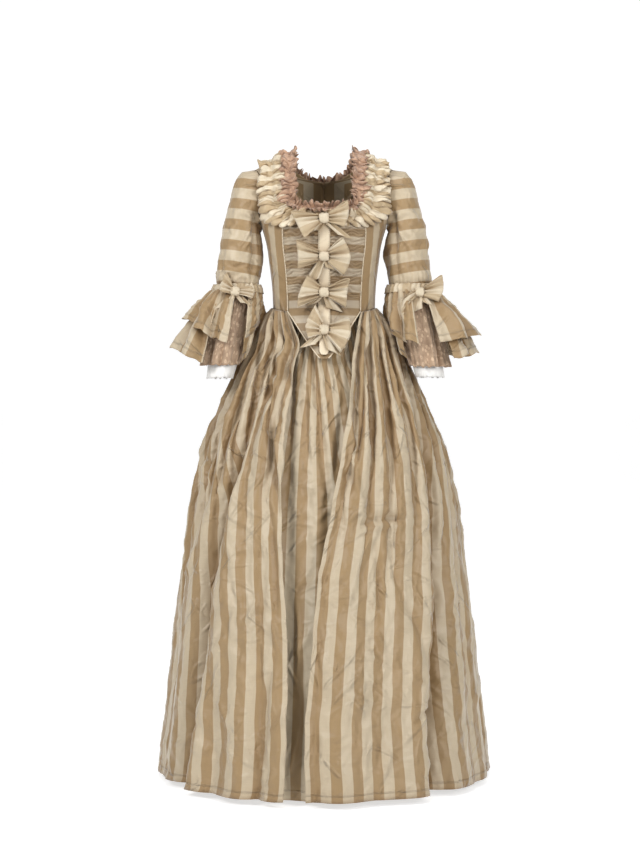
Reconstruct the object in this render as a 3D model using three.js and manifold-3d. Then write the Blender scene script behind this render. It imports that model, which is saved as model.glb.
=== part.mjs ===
// An English gown of striped taffeta, worn: an open robe over a matching petticoat, with a gathered
// stomacher, four bows, a ruched neckline and elbow flounces over lace.
// Millimetres, +Z up. The front faces -Y and +X is the wearer's left. The origin lies midway between
// the two shoulders, at the height of the shoulder seams, where the wearer carries the gown.
import * as THREE from "three";
import { mergeVertices } from "three/addons/utils/BufferGeometryUtils.js";
import Module from "manifold-3d";

const wasm = await Module();
wasm.setup();

// ---------------------------------------------------------------- driving dimensions
const CLOTH = 1.6; // taffeta and its interlining, in the fitted pieces
const LIGHT_CLOTH = 1.2; // unlined taffeta, in skirts, flounces and trims
const NET = 1; // lace, tulle and the fine white under-ruffle
const SEAM = 0.36; // clear width of a seam between two pieces
const WAIST_Z = -340; // waist seam at the side
const WAIST_DIP = 14; // how far the waist seam drops towards the stomacher
const HEM_Z = -1447;
const POINT_Z = -468; // tip of the stomacher, below the waist
const NECK_X = 81; // neckline at the shoulder seam
const ARMHOLE = { z: -80, high: 72, deep: 50 }; // centre height, half height and half depth
const PLEATS = 32; // unpressed pleats that gather the robe's skirt into the waist seam
const FULLNESS = 2 / 2.3; // exponent of a body section: 1 is an ellipse, smaller is squarer

// Body sections under the bodice: half width, and depth in front of and behind the side line.
const TORSO = [
  { z: -345, half: 122.5, front: 99, back: 96 },
  { z: -290, half: 125, front: 107, back: 98 },
  { z: -240, half: 131, front: 116, back: 103 },
  { z: -190, half: 138, front: 122, back: 107 },
  { z: -150, half: 149, front: 117, back: 108 },
  { z: -110, half: 164, front: 105, back: 106 },
  { z: -60, half: 178, front: 92, back: 98 },
  { z: 0, half: 184, front: 84, back: 90 },
  { z: 40, half: 186, front: 80, back: 86 },
];
const SHOULDER_FALL = 120; // height over which the chest rounds up into the shoulder seam

// Height of the shoulder seam, from the neck out to the arm.
const SHOULDER_LINE = [
  { x: 0, z: 32 },
  { x: 78, z: 31 },
  { x: 120, z: 15 },
  { x: 167, z: -8 },
  { x: 186, z: -20 },
];

// The robe's skirt: half width, and depth in front and behind, at its middle surface.
const SKIRT = [
  { z: -341, half: 122, front: 100, back: 97 },
  { z: -360, half: 138, front: 110, back: 117 },
  { z: -385, half: 153, front: 119, back: 140 },
  { z: -417, half: 167, front: 130, back: 163 },
  { z: -450, half: 181, front: 141, back: 181 },
  { z: -494, half: 201, front: 158, back: 200 },
  { z: -540, half: 221, front: 175, back: 217 },
  { z: -600, half: 248, front: 196, back: 237 },
  { z: -682, half: 281, front: 223, back: 263 },
  { z: -802, half: 308, front: 260, back: 297 },
  { z: -923, half: 328, front: 290, back: 327 },
  { z: -1043, half: 346, front: 318, back: 354 },
  { z: -1164, half: 358, front: 345, back: 379 },
  { z: -1284, half: 371, front: 370, back: 403 },
  { z: -1460, half: 392, front: 396, back: 430 },
];

// Where the robe's two front edges hang, as distances from the centre line.
const OPENING = [
  { z: -341, left: 88, right: 88 },
  { z: -380, left: 72, right: 76 },
  { z: -432, left: 54, right: 66 },
  { z: -498, left: 68, right: 60 },
  { z: -600, left: 83, right: 50 },
  { z: -815, left: 95, right: 15 },
  { z: -969, left: 90, right: -14 },
  { z: -1122, left: 81, right: -28 },
  { z: -1326, left: 82, right: -44 },
  { z: -1460, left: 88, right: -40 },
];

// Deep single folds of the robe: place along the cloth (0 and 1 are the front edges), half width in
// the same measure, depth inwards at the hem, and the height where the fold begins.
const DEEP_FOLDS = [
  { at: 0.155, wide: 0.03, deep: 42, from: -560 },
  { at: 0.888, wide: 0.03, deep: 44, from: -540 },
  { at: 0.33, wide: 0.026, deep: 26, from: -620 },
  { at: 0.5, wide: 0.024, deep: 30, from: -420 },
  { at: 0.68, wide: 0.026, deep: 26, from: -640 },
];

// Side-front panel of the bodice. Rows run from the waist up to the shoulder seam. The inner edge
// follows the stomacher and then the neckline. The outer edge is the side seam up to the armpit,
// and then the armhole, by its angle from the top.
const FRONT_ROWS = [
  { x: 87, z: -354, sideZ: -340 },
  { x: 88, z: -310, sideZ: -300 },
  { x: 92, z: -250, sideZ: -245 },
  { x: 98, z: -195, sideZ: -195 },
  { x: 98, z: -150, armAngle: 180 },
  { x: 87, z: -120, armAngle: 148 },
  { x: 77, z: -92, armAngle: 118 },
  { x: 76, z: -58, armAngle: 90 },
  { x: 77, z: -22, armAngle: 62 },
  { x: 79, z: 10, armAngle: 36 },
  { x: 80.5, z: 26, armAngle: 15 },
  { x: NECK_X, z: null, armAngle: 0 },
];
const BACK_ROWS = [
  { x: 0, z: -340, sideZ: -340 },
  { x: 0, z: -300, sideZ: -300 },
  { x: 0, z: -245, sideZ: -245 },
  { x: 0, z: -190, sideZ: -195 },
  { x: 0, z: -140, armAngle: 180 },
  { x: 0, z: -95, armAngle: 148 },
  { x: 0, z: -58, armAngle: 118 },
  { x: 0, z: -26, armAngle: 90 },
  { x: 42, z: -20, armAngle: 62 },
  { x: 68, z: -4, armAngle: 36 },
  { x: 78, z: 17, armAngle: 15 },
  { x: NECK_X, z: null, armAngle: 0 },
];

// Half of the neckline, from the centre front over the shoulder seam to the centre back, with the
// width of striped trim that lies outside it.
const NECKLINE = [
  { x: 0, z: -104, trim: 34 },
  { x: 38, z: -103, trim: 36 },
  { x: 63, z: -98, trim: 40 },
  { x: 75, z: -84, trim: 50 },
  { x: 76, z: -55, trim: 58 },
  { x: 77, z: -20, trim: 62 },
  { x: 79, z: 10, trim: 60 },
  { x: NECK_X, z: null, trim: 58 },
  { x: 78, z: 17, trim: 54, behind: true },
  { x: 68, z: -4, trim: 50, behind: true },
  { x: 40, z: -21, trim: 46, behind: true },
  { x: 0, z: -26, trim: 44, behind: true },
];

// Sleeve sections, from just outside the armhole to the elbow: outermost and innermost point, half
// depth, and how far the section lies forward.
const SLEEVE = [
  { outX: 196, outZ: -13, inX: 154, inZ: -158, deep: 54, fore: 0 },
  { outX: 214, outZ: -38, inX: 152, inZ: -164, deep: 56, fore: 0 },
  { outX: 227, outZ: -84, inX: 150, inZ: -173, deep: 57, fore: 1 },
  { outX: 243, outZ: -150, inX: 147, inZ: -197, deep: 57, fore: 3 },
  { outX: 251, outZ: -214, inX: 148, inZ: -232, deep: 55, fore: 5 },
  { outX: 257, outZ: -262, inX: 155, inZ: -266, deep: 53, fore: 7 },
  { outX: 259, outZ: -293, inX: 159, inZ: -293, deep: 50, fore: 8.6 },
];

// The forearm's line below the sleeve, which every layer hangs round: it starts at the elbow and
// moves outwards and forwards by these shares of the drop.
const ELBOW = { x: 209, y: -8.6, z: -293.4, outwards: 0.14, forwards: 0.36 };

// Layers below the elbow. `top` is the reach from the forearm's line at the elbow, `swing` the depth
// of the ruffle's waves at the hem, and `gap` the part left open, in degrees round from the outer side
// towards the front.
const LAYERS = {
  under_ruffle: { thick: NET, columns: 14, waves: 7, swing: 0.8, top: 48.4, gap: null },
  lace_flounce: { thick: NET, columns: 44, waves: 11, swing: 6, top: 51.4, gap: null },
  lower_flounce: { thick: LIGHT_CLOTH, columns: 28, waves: 7, swing: 9, top: 53.4, gap: [70, 112] },
  upper_flounce: { thick: LIGHT_CLOTH, columns: 28, waves: 7, swing: 9, top: 55.4, gap: [66, 118] },
};
const LAYER_ROWS = 2;

// Hem of each layer on its outer, front, inner and back side: height, and reach from the forearm's
// line. side is -1 for the wearer's right.
const HEMS = [
  {
    layer: "under_ruffle", side: -1,
    outer: [-511, 38], front: [-511, 34], inner: [-511, 25], back: [-511, 34],
  },
  {
    layer: "under_ruffle", side: 1,
    outer: [-509, 45], front: [-509, 34], inner: [-509, 22], back: [-509, 34],
  },
  {
    layer: "lace_flounce", side: -1,
    outer: [-480, 55], front: [-482, 46], inner: [-478, 33], back: [-478, 46],
  },
  {
    layer: "lace_flounce", side: 1,
    outer: [-484, 64], front: [-486, 48], inner: [-480, 32], back: [-480, 46],
  },
  {
    layer: "lower_flounce", side: -1,
    outer: [-440, 129], front: [-488, 82], inner: [-440, 45], back: [-462, 78],
  },
  {
    layer: "lower_flounce", side: 1,
    outer: [-452, 133], front: [-470, 84], inner: [-440, 46], back: [-462, 80],
  },
  {
    layer: "upper_flounce", side: -1,
    outer: [-372, 113], front: [-421, 86], inner: [-384, 60], back: [-400, 84],
  },
  {
    layer: "upper_flounce", side: 1,
    outer: [-410, 146], front: [-432, 90], inner: [-396, 60], back: [-410, 88],
  },
];
const ELBOW_BAND = { high: -282, low: -298, topOut: 53.9, lowOut: 62.4 };

const TRIM_REACH = 150; // the striped trim stops short of the sleeve seam

// The bows down the stomacher: height, lift of their middle off the cloth, half span to the wearer's
// right and left, half height of the loops, tilt in degrees, and length of the tails.
const BOWS = [
  { z: -141, lift: 10.9, right: 72, left: 60, high: 29, tilt: -6, tail: 44 },
  { z: -227, lift: 6.6, right: 62, left: 60, high: 34, tilt: 4, tail: 50 },
  { z: -311, lift: 12, right: 70, left: 55, high: 25, tilt: -3, tail: 30 },
  { z: -403, lift: 6.9, right: 50, left: 62, high: 36, tilt: 8, tail: 34 },
];
const ELBOW_BOW = { x: 214, right: 46, left: 46, high: 24, tail: 0 };
const BAND_HALF = 14.5; // centre strip that the bows are tied on
const KNOT = { wide: 15, high: 15, deep: 8 };

// ---------------------------------------------------------------- numbers and tables
const RAD = Math.PI / 180;
const clamp = (t, low = 0, high = 1) => Math.min(high, Math.max(low, t));
const mix = (a, b, t) => a + (b - a) * t;
const ease = (t) => clamp(t) ** 2 * (3 - 2 * clamp(t));
const rise = (from, to, at) => ease((at - from) / (to - from));
const signedPower = (t, p) => Math.sign(t) * Math.abs(t) ** p;

// A smooth curve through a table's column, read at a place in its key column.
function read(table, key, at, column) {
  const n = table.length;
  const up = table[n - 1][key] > table[0][key];
  let i = 0;
  while (i < n - 2 && (up ? at > table[i + 1][key] : at < table[i + 1][key])) i += 1;
  const [a, b] = [table[i], table[i + 1]];
  const slope = (j) => {
    const [before, after] = [table[Math.max(0, j - 1)], table[Math.min(n - 1, j + 1)]];
    return (after[column] - before[column]) / (after[key] - before[key]);
  };
  const span = b[key] - a[key];
  const t = clamp((at - a[key]) / span);
  const [t2, t3] = [t * t, t * t * t];
  return (
    (2 * t3 - 3 * t2 + 1) * a[column] + (t3 - 2 * t2 + t) * span * slope(i) +
    (3 * t2 - 2 * t3) * b[column] + (t3 - t2) * span * slope(i + 1)
  );
}

// ---------------------------------------------------------------- walls of cloth
// A closed wall: grid[j][i] holds the outer point and the direction out of the cloth.
function wallGeometry(grid, thick, closed) {
  const [rows, cols] = [grid.length, grid[0].length];
  const at = (j, i, inner) => (inner ? rows * cols : 0) + j * cols + (i % cols);
  const place = [];
  for (const inner of [0, 1])
    for (const row of grid)
      for (const { p, n } of row) place.push(...p.clone().addScaledVector(n, -thick * inner));
  const faces = [];
  const quad = (a, b, c, d) => faces.push(a, b, c, a, c, d);
  const last = closed ? cols : cols - 1;
  for (let i = 0; i < last; i += 1) {
    for (let j = 0; j < rows - 1; j += 1) {
      quad(at(j, i), at(j, i + 1), at(j + 1, i + 1), at(j + 1, i));
      quad(at(j, i, 1), at(j + 1, i, 1), at(j + 1, i + 1, 1), at(j, i + 1, 1));
    }
    quad(at(0, i), at(0, i, 1), at(0, i + 1, 1), at(0, i + 1));
    quad(at(rows - 1, i), at(rows - 1, i + 1), at(rows - 1, i + 1, 1), at(rows - 1, i, 1));
  }
  for (let j = 0; !closed && j < rows - 1; j += 1) {
    quad(at(j, 0), at(j + 1, 0), at(j + 1, 0, 1), at(j, 0, 1));
    quad(at(j, last), at(j, last, 1), at(j + 1, last, 1), at(j + 1, last));
  }
  const geometry = new THREE.BufferGeometry();
  geometry.setAttribute("position", new THREE.Float32BufferAttribute(place, 3));
  geometry.setIndex(volumeOf(place, faces) < 0 ? faces.reverse() : faces);
  return geometry;
}

function volumeOf(place, faces) {
  const corner = (k) => new THREE.Vector3().fromArray(place, 3 * k);
  let sum = 0;
  for (let f = 0; f < faces.length; f += 3)
    sum += corner(faces[f]).dot(corner(faces[f + 1]).cross(corner(faces[f + 2])));
  return sum / 6;
}

// Samples a surface(u, v) on a grid. `outwards` is any direction on the cloth's outer side, at u, v.
function sample(surface, outwards, uList, vList, gap = {}) {
  const step = 1e-4;
  return vList.map((v) =>
    uList.map((u) => {
      const p = surface(u, v);
      const [u0, u1, v0, v1] = [u - step, u + step, v - step, v + step];
      const along = surface(u1, v).sub(surface(u0, v));
      const across = surface(u, v1).sub(surface(u, v0));
      const n = along.clone().cross(across).normalize();
      if (n.dot(outwards(u, v, p)) < 0) n.negate();
      if (gap.u && (u === uList[0] || u === uList.at(-1)))
        p.addScaledVector(along.normalize(), u === uList[0] ? gap.u : -gap.u);
      if (gap.v && (v === vList[0] || v === vList.at(-1)))
        p.addScaledVector(across.normalize(), v === vList[0] ? gap.v : -gap.v);
      return { p, n };
    }),
  );
}

const steps = (count, from = 0, to = 1) =>
  Array.from({ length: count + 1 }, (_, i) => mix(from, to, i / count));
const FORWARDS = () => new THREE.Vector3(0, -1, 0);
const openRing = (count) => steps(count).slice(0, -1);

// ---------------------------------------------------------------- body form
const shoulderZ = (x) => read(SHOULDER_LINE, "x", Math.abs(x), "z");

// Depth of the body in front of (or behind) the side line, at a place x, z. It falls to nothing at
// the shoulder seam.
function bodyDepth(x, z, behind) {
  const half = read(TORSO, "z", z, "half");
  const depth = read(TORSO, "z", z, behind ? "back" : "front");
  const section = (1 - clamp(Math.abs(x) / half) ** (2 / FULLNESS)) ** (FULLNESS / 2);
  const below = clamp((shoulderZ(x) - z) / SHOULDER_FALL);
  return depth * section * Math.sqrt(1 - (1 - below) ** 2);
}

// A point of the body by the angle round it (0 is the side facing -Y or +Y, 90 degrees the side
// line) and by the way down from the shoulder seam, measured over the rounded chest.
const fallOf = (way) => {
  const quarter = (SHOULDER_FALL * Math.PI) / 2;
  if (way > quarter) return SHOULDER_FALL + way - quarter;
  return SHOULDER_FALL * (1 - Math.cos(Math.max(0, way) / SHOULDER_FALL));
};
const wayOf = (fall) => {
  if (fall > SHOULDER_FALL) return (SHOULDER_FALL * Math.PI) / 2 + fall - SHOULDER_FALL;
  return SHOULDER_FALL * Math.acos(1 - Math.max(0, fall) / SHOULDER_FALL);
};

function bodyPoint(angle, way, behind) {
  let [x, z] = [0, shoulderZ(0) - fallOf(way)];
  for (let k = 0; k < 12; k += 1) {
    x = read(TORSO, "z", z, "half") * signedPower(Math.sin(angle), FULLNESS);
    z = shoulderZ(x) - fallOf(way);
  }
  const depth = read(TORSO, "z", z, behind ? "back" : "front");
  const below = clamp(fallOf(way) / SHOULDER_FALL);
  const y = depth * signedPower(Math.cos(angle), FULLNESS) * Math.sqrt(1 - (1 - below) ** 2);
  return new THREE.Vector3(x, behind ? y : -y, z);
}
const WAY_EXTRA = wayOf(SHOULDER_FALL) - SHOULDER_FALL; // way less fall, anywhere below the chest
const angleOf = (x, z) => {
  const share = clamp(Math.abs(x) / read(TORSO, "z", z, "half"));
  return Math.sign(x) * Math.asin(share ** (1 / FULLNESS));
};

// A point of the body by x and z.
const onBody = (x, z, behind) =>
  new THREE.Vector3(x, (behind ? 1 : -1) * bodyDepth(x, z, behind), z);
// The armhole, by the angle round it from the top; positive is in front. `side` is 1 or -1.
function armhole(angle, side) {
  const z = ARMHOLE.z + ARMHOLE.high * Math.cos(angle);
  const y = ARMHOLE.deep * Math.sin(angle);
  let [near, far] = [60, read(TORSO, "z", z, "half")];
  for (let k = 0; k < 40; k += 1) {
    const x = (near + far) / 2;
    if (bodyDepth(x, z, y < 0) > Math.abs(y)) near = x;
    else far = x;
  }
  return new THREE.Vector3(side * near, -y, z);
}

// ---------------------------------------------------------------- bodice
function bodicePanel(rows, side, behind) {
  const edges = rows.map(({ x, z, sideZ, armAngle }) => {
    const fall = z === null ? 0 : shoulderZ(x) - z;
    const inner = { angle: angleOf(x, z ?? shoulderZ(x)), way: wayOf(fall) };
    if (sideZ !== undefined) {
      const half = read(TORSO, "z", sideZ, "half");
      return { inner, outer: { angle: Math.PI / 2, way: wayOf(shoulderZ(half) - sideZ) } };
    }
    const p = armhole((behind ? -1 : 1) * armAngle * RAD, 1);
    const angle = armAngle === 180 ? Math.PI / 2 : angleOf(p.x, p.z);
    return { inner, outer: { angle, way: wayOf(shoulderZ(p.x) - p.z) } };
  });
  const table = edges.map(({ inner, outer }, k) => ({
    k, innerAngle: inner.angle, innerWay: inner.way, outerAngle: outer.angle, outerWay: outer.way,
  }));
  const surface = (u, v) => {
    const k = v * (rows.length - 1);
    const low = clamp(Math.floor(k), 0, rows.length - 2);
    const pick = (column) => mix(table[low][column], table[low + 1][column], k - low);
    const angle = mix(pick("innerAngle"), pick("outerAngle"), u);
    let p = bodyPoint(angle, mix(pick("innerWay"), pick("outerWay"), u), behind);
    if (k < 1) p = bodyPoint(angle, shoulderZ(p.x) - mix(waistZ(p), p.z, k) + WAY_EXTRA, behind);
    p.x *= side;
    return p;
  };
  const outwards = (u, v, p) => {
    const up = 2 * rise(-60, 20, p.z);
    return new THREE.Vector3(p.x / 2, behind ? 60 : -60, 60 * up);
  };
  const grid = sample(surface, outwards, steps(6), steps(rows.length - 1), { u: SEAM / 2, v: SEAM / 2 });
  return wallGeometry(grid, CLOTH, false);
}

// Waist seam height by the place round the body; it dips towards the stomacher.
const waistZ = ({ x, y }) => WAIST_Z - WAIST_DIP * clamp((80 - Math.atan2(Math.abs(x), -y) / RAD) / 30);

// ---------------------------------------------------------------- stomacher
const stomacherEdge = (z) => {
  const waist = FRONT_ROWS[0];
  if (z < waist.z) return mix(9, waist.x - 1.5, clamp((z - POINT_Z) / (waist.z - POINT_Z)) ** 0.9);
  return read(FRONT_ROWS.slice(0, 7), "z", z, "x") - 1.4;
};

// The front of the gown at x, z with the skirt's front below the waist, moved out by `lift`.
function frontSurface(x, z, lift) {
  const below = rise(-318, -372, z);
  const body = onBody(x, Math.max(z, -345), false);
  const low = Math.min(z, SKIRT[0].z);
  const skirt = skirtForm(Math.asin(clamp(x / read(SKIRT, "z", low, "half"), -1, 1)), low);
  const y = mix(body.y, skirt.y - 11, below) - lift;
  return new THREE.Vector3(x, y, z);
}

// Horizontal gathers between the neckline trim and the waist band, and a flat band at the waist.
const GATHER_TOP = -150;
const GATHER_LOW = -322;
const GATHERS = 10;
function gatherLift(x, z, side) {
  const shown = rise(GATHER_TOP + 8, GATHER_TOP - 8, z) * rise(GATHER_LOW - 6, GATHER_LOW + 6, z);
  const along = ((z - GATHER_LOW) / (GATHER_TOP - GATHER_LOW)) * GATHERS;
  const sway = 0.22 * Math.sin(x / 13 + side * 1.7 + 0.6 * along);
  return shown * (1.7 + 1.7 * Math.cos(2 * Math.PI * (along + sway)));
}

function stomacherHalf(side) {
  const topZ = -102;
  const surface = (u, v) => {
    const z = mix(POINT_Z, topZ, v);
    const outer = Math.min(stomacherEdge(Math.max(z, POINT_Z)), z > -100 ? 60 : 999);
    const x = side * mix(SEAM, outer, u);
    return frontSurface(x, z, 0.2 + gatherLift(x, z, side));
  };
  const level = (z) => (z - POINT_Z) / (topZ - POINT_Z);
  const rows = [
    ...steps(5, 0, level(WAIST_Z - WAIST_DIP)),
    ...steps(3 * GATHERS + 2, level(WAIST_Z + 8), level(GATHER_TOP + 4)),
    1,
  ];
  const grid = sample(surface, FORWARDS, steps(2), rows);
  return wallGeometry(grid, CLOTH, false);
}

function centreBand() {
  const surface = (u, v) => {
    const z = mix(POINT_Z + 9, -164, v);
    const half = BAND_HALF * mix(0.8, 1, rise(-440, -380, z));
    return frontSurface(mix(-half, half, u), z, 6.4 - 1.2 * Math.abs(2 * u - 1));
  };
  const grid = sample(surface, FORWARDS, steps(2), steps(8));
  return wallGeometry(grid, CLOTH, false);
}

// ---------------------------------------------------------------- skirts
// The skirt's smooth form, by the angle round it from the front towards +X, and the height.
function skirtForm(angle, z) {
  const at = Math.min(z, SKIRT[0].z);
  const depth = read(SKIRT, "z", at, Math.cos(angle) > 0 ? "front" : "back");
  return new THREE.Vector3(
    read(SKIRT, "z", at, "half") * Math.sin(angle), -depth * Math.cos(angle), z,
  );
}
const skirtOut = (angle, z) => {
  const depth = read(SKIRT, "z", z, Math.cos(angle) > 0 ? "front" : "back");
  const half = read(SKIRT, "z", z, "half");
  return new THREE.Vector3(Math.sin(angle) / half, -Math.cos(angle) / depth, 0).normalize();
};

// How far the robe's cloth stands out of the smooth form: pleats that open out downwards, broad
// folds that grow towards the hem, and the deep folds.
function robeRelief(c, z) {
  const down = clamp((WAIST_Z - z) / (WAIST_Z - HEM_Z));
  const each = 0.5 + 0.5 * Math.sin(2.4 * Math.floor(c * PLEATS) + 1);
  const pleat = mix(3, 7.5, rise(0, 0.06, down)) * (1 - rise(0.12 + 0.14 * each, 0.5 + 0.2 * each, down));
  const broad = 13 * rise(0.1, 0.9, down);
  const wander = 0.35 * Math.sin(2 * Math.PI * 3 * c + 0.8) + 0.25 * Math.sin(2 * Math.PI * 5 * c);
  let out = pleat * Math.cos(2 * Math.PI * PLEATS * c) + broad * Math.cos(2 * Math.PI * (14 * c + wander));
  for (const { at, wide, deep, from } of DEEP_FOLDS)
    out -= deep * rise(from, HEM_Z, z) ** 0.7 * Math.exp(-(((c - at) / wide) ** 2));
  return out;
}

function robePoint(c, z) {
  const half = read(SKIRT, "z", Math.min(z, SKIRT[0].z), "half");
  const right = Math.asin(read(OPENING, "z", z, "right") / half);
  const left = 2 * Math.PI - Math.asin(read(OPENING, "z", z, "left") / half);
  const angle = mix(right, left, c);
  return skirtForm(angle, z).addScaledVector(skirtOut(angle, z), robeRelief(c, z));
}

const ROBE_LEVELS = [0, 0.022, 0.07, 0.16, 0.31, 0.52, 0.76, 1];
function robePanel(from, to) {
  const columns = Math.round((to - from) * PLEATS) * 4;
  const surface = (c, v) => {
    const top = robePoint(c, waistZ(robePoint(c, WAIST_Z)));
    const high = waistZ(top) - 4 * SEAM;
    return robePoint(c, mix(high, HEM_Z, v));
  };
  const outwards = (c, v, p) => new THREE.Vector3(p.x, p.y, 0);
  const grid = sample(surface, outwards, steps(columns, from, to), ROBE_LEVELS, { u: SEAM });
  return wallGeometry(grid, LIGHT_CLOTH, false);
}

// The petticoat hangs inside the robe, in four widths of cloth. Its top is sewn inside the waist seam.
const PETTICOAT_IN = [
  { z: -343, inside: 5.8 },
  { z: -362, inside: 13 },
  { z: -420, inside: 17 },
  { z: -700, inside: 24 },
  { z: -1000, inside: 35 },
  { z: -1460, inside: 52 },
];
const DENT_ANGLE = 0.86; // where the robe's deep front folds press it in, from the front
const PETTICOAT_PANELS = ["front", "left", "back", "right"]; // one loom width of cloth each
function petticoatPoint(angle, z) {
  const down = clamp((WAIST_Z - z) / (WAIST_Z - HEM_Z));
  const front = ease(Math.cos(angle) * 2 - 0.9);
  const inside = read(PETTICOAT_IN, "z", z, "inside") * mix(1, 0.62, front * rise(-700, -1000, z));
  const folds = mix(0.6, 6, rise(0.05, 0.8, down)) * Math.cos(10 * angle + 0.9 * Math.sin(3 * angle));
  const hips = 34 * rise(-560, -1300, z);
  const fromFront = Math.abs(((angle + 3 * Math.PI) % (2 * Math.PI)) - Math.PI);
  const dent = hips * Math.exp(-(((fromFront - DENT_ANGLE) / 0.2) ** 2));
  return skirtForm(angle, z).addScaledVector(skirtOut(angle, z), folds * 0.9 - inside - dent);
}
function petticoatPanel(k) {
  const levels = [-343, -362, -420, -600, -860, -1150, HEM_Z - 5];
  const columns = steps(10, (k - 0.5) / PETTICOAT_PANELS.length, (k + 0.5) / PETTICOAT_PANELS.length);
  const surface = (c, z) => petticoatPoint(2 * Math.PI * c, z);
  const outwards = (c, z, p) => new THREE.Vector3(p.x, p.y, 0);
  return wallGeometry(sample(surface, outwards, columns, levels, { u: SEAM / 2 }), LIGHT_CLOTH, false);
}

// ---------------------------------------------------------------- sleeves
function sleeveSection(row, angle, side) {
  const { outX, outZ, inX, inZ, deep, fore } = row;
  const [cos, sin] = [Math.cos(angle), Math.sin(angle)];
  return new THREE.Vector3(
    side * mix(outX, inX, (1 - cos) / 2), -fore - deep * sin, mix(outZ, inZ, (1 - cos) / 2),
  );
}
function sleeve(side) {
  const keyed = SLEEVE.map((row, k) => ({ ...row, k: k + 1 }));
  const surface = (a, v) => {
    const k = 1 + v * (SLEEVE.length - 1);
    const row = {};
    for (const name of Object.keys(SLEEVE[0])) row[name] = read(keyed, "k", k, name);
    const section = sleeveSection(row, 2 * Math.PI * a, side);
    if (v >= 0) return section;
    const edge = armhole(2 * Math.PI * a, side).add(new THREE.Vector3(side * 1.6, 0, 0));
    return edge.lerp(section, 1 + v);
  };
  const outwards = (a, v, p) => {
    const middle = surface(a, v).lerp(surface(a + 0.5, v), 0.5);
    return p.clone().sub(middle);
  };
  const grid = sample(surface, outwards, openRing(16), [-1, ...steps(6)]);
  return wallGeometry(grid, CLOTH, true);
}

// One layer below the elbow. a runs round from the outer side towards the front.
function layerPoint(name, a, v, side) {
  const { top, waves, swing } = LAYERS[name];
  const hem = HEMS.find((row) => row.layer === name && row.side === side);
  const turn = 2 * Math.PI * a;
  const [cos, sin] = [Math.cos(turn), Math.sin(turn)];
  const [sideways, fore] = [cos > 0 ? hem.outer : hem.inner, sin > 0 ? hem.front : hem.back];
  const around = (k) => sideways[k] * cos * cos + fore[k] * sin * sin;
  const z = mix(ELBOW.z, around(0), v);
  const drop = ELBOW.z - z;
  const wander = 2 * Math.PI * 0.15 * Math.sin(2 * turn);
  const wave = swing * v * (0.6 + 0.4 * cos) * Math.cos(waves * turn + wander);
  const reach = mix(top, around(1), Math.sign(v) * Math.abs(v) ** 1.15) + wave;
  const x = ELBOW.x + ELBOW.outwards * drop + reach * cos;
  return new THREE.Vector3(side * x, ELBOW.y - ELBOW.forwards * drop - reach * sin, z);
}
const awayFromArm = (side) => (a) =>
  new THREE.Vector3(side * Math.cos(2 * Math.PI * a), -Math.sin(2 * Math.PI * a), 0.3);
function layer(name, side) {
  const { gap, columns, thick } = LAYERS[name];
  const surface = (a, v) => layerPoint(name, a, v, side);
  const around = gap ? steps(columns, gap[1] / 360, 1 + gap[0] / 360) : openRing(columns);
  return wallGeometry(sample(surface, awayFromArm(side), around, steps(LAYER_ROWS)), thick, !gap);
}
function elbowBand(side) {
  const { high, low, topOut, lowOut } = ELBOW_BAND;
  const surface = (a, v) => {
    const turn = 2 * Math.PI * a;
    const reach = mix(lowOut, topOut, v);
    return new THREE.Vector3(
      side * (ELBOW.x + reach * Math.cos(turn)), ELBOW.y - reach * Math.sin(turn), mix(low, high, v),
    );
  };
  return wallGeometry(sample(surface, awayFromArm(side), openRing(20), steps(1)), LIGHT_CLOTH, true);
}

// ---------------------------------------------------------------- neckline trims
// The neckline as distances over the body: x, and the way down from the shoulder seam, which is
// negative behind. Going outwards from it crosses the chest, the shoulder and the back alike.
const NECK_PATH = NECKLINE.map(({ x, z, trim, behind }, k) => ({
  k, x, trim, way: (behind ? -1 : 1) * wayOf(z === null ? 0 : shoulderZ(x) - z),
}));
function neckPlace(s) {
  // s runs from 0 at the centre front to 0.5 at the centre back, and on round to 1.
  const half = s <= 0.5 ? s : 1 - s;
  const side = s <= 0.5 ? 1 : -1;
  const k = 2 * half * (NECK_PATH.length - 1);
  const pick = (at, column) => read(NECK_PATH, "k", clamp(at, 0, NECK_PATH.length - 1), column);
  const [x, way, trim] = ["x", "way", "trim"].map((column) => pick(k, column));
  const change = (column) => pick(k + 0.3, column) - pick(k - 0.3, column);
  const ahead = { x: change("x"), way: change("way") };
  const size = Math.hypot(ahead.x, ahead.way);
  return { x: side * x, way, trim, outX: (-side * ahead.way) / size, outWay: ahead.x / size };
}
const wrapBody = (x, way) => onBody(x, shoulderZ(x) - fallOf(Math.abs(way)), way < 0);
function overBody(x, way, lift) {
  const e = 0.5;
  const across = wrapBody(x + e, way).sub(wrapBody(x - e, way));
  const down = wrapBody(x, way + e).sub(wrapBody(x, way - e));
  const out = down.cross(across).normalize();
  return wrapBody(x, way).addScaledVector(out, lift);
}
function neckStrip({ pleats, columns, rows, from, to, low, high, thick }) {
  const surface = (s, w) => {
    const place = neckPlace(((s % 1) + 1) % 1);
    const phase = 2 * Math.PI * pleats * s;
    const away = mix(from(place), to(place), w) + 2 * w * Math.sin(phase + 0.8);
    const lift = mix(low, high, 0.5 + 0.5 * Math.cos(phase + 1.3 * (w - 0.5)));
    const x = clamp(place.x + away * place.outX, -TRIM_REACH, TRIM_REACH);
    return overBody(x, place.way + away * place.outWay, lift);
  };
  const outwards = (s, w, p) => {
    const place = neckPlace(((s % 1) + 1) % 1);
    return p.clone().sub(overBody(place.x + 20 * place.outX, place.way + 20 * place.outWay, -60));
  };
  return wallGeometry(sample(surface, outwards, openRing(columns), steps(rows)), thick, true);
}
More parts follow.
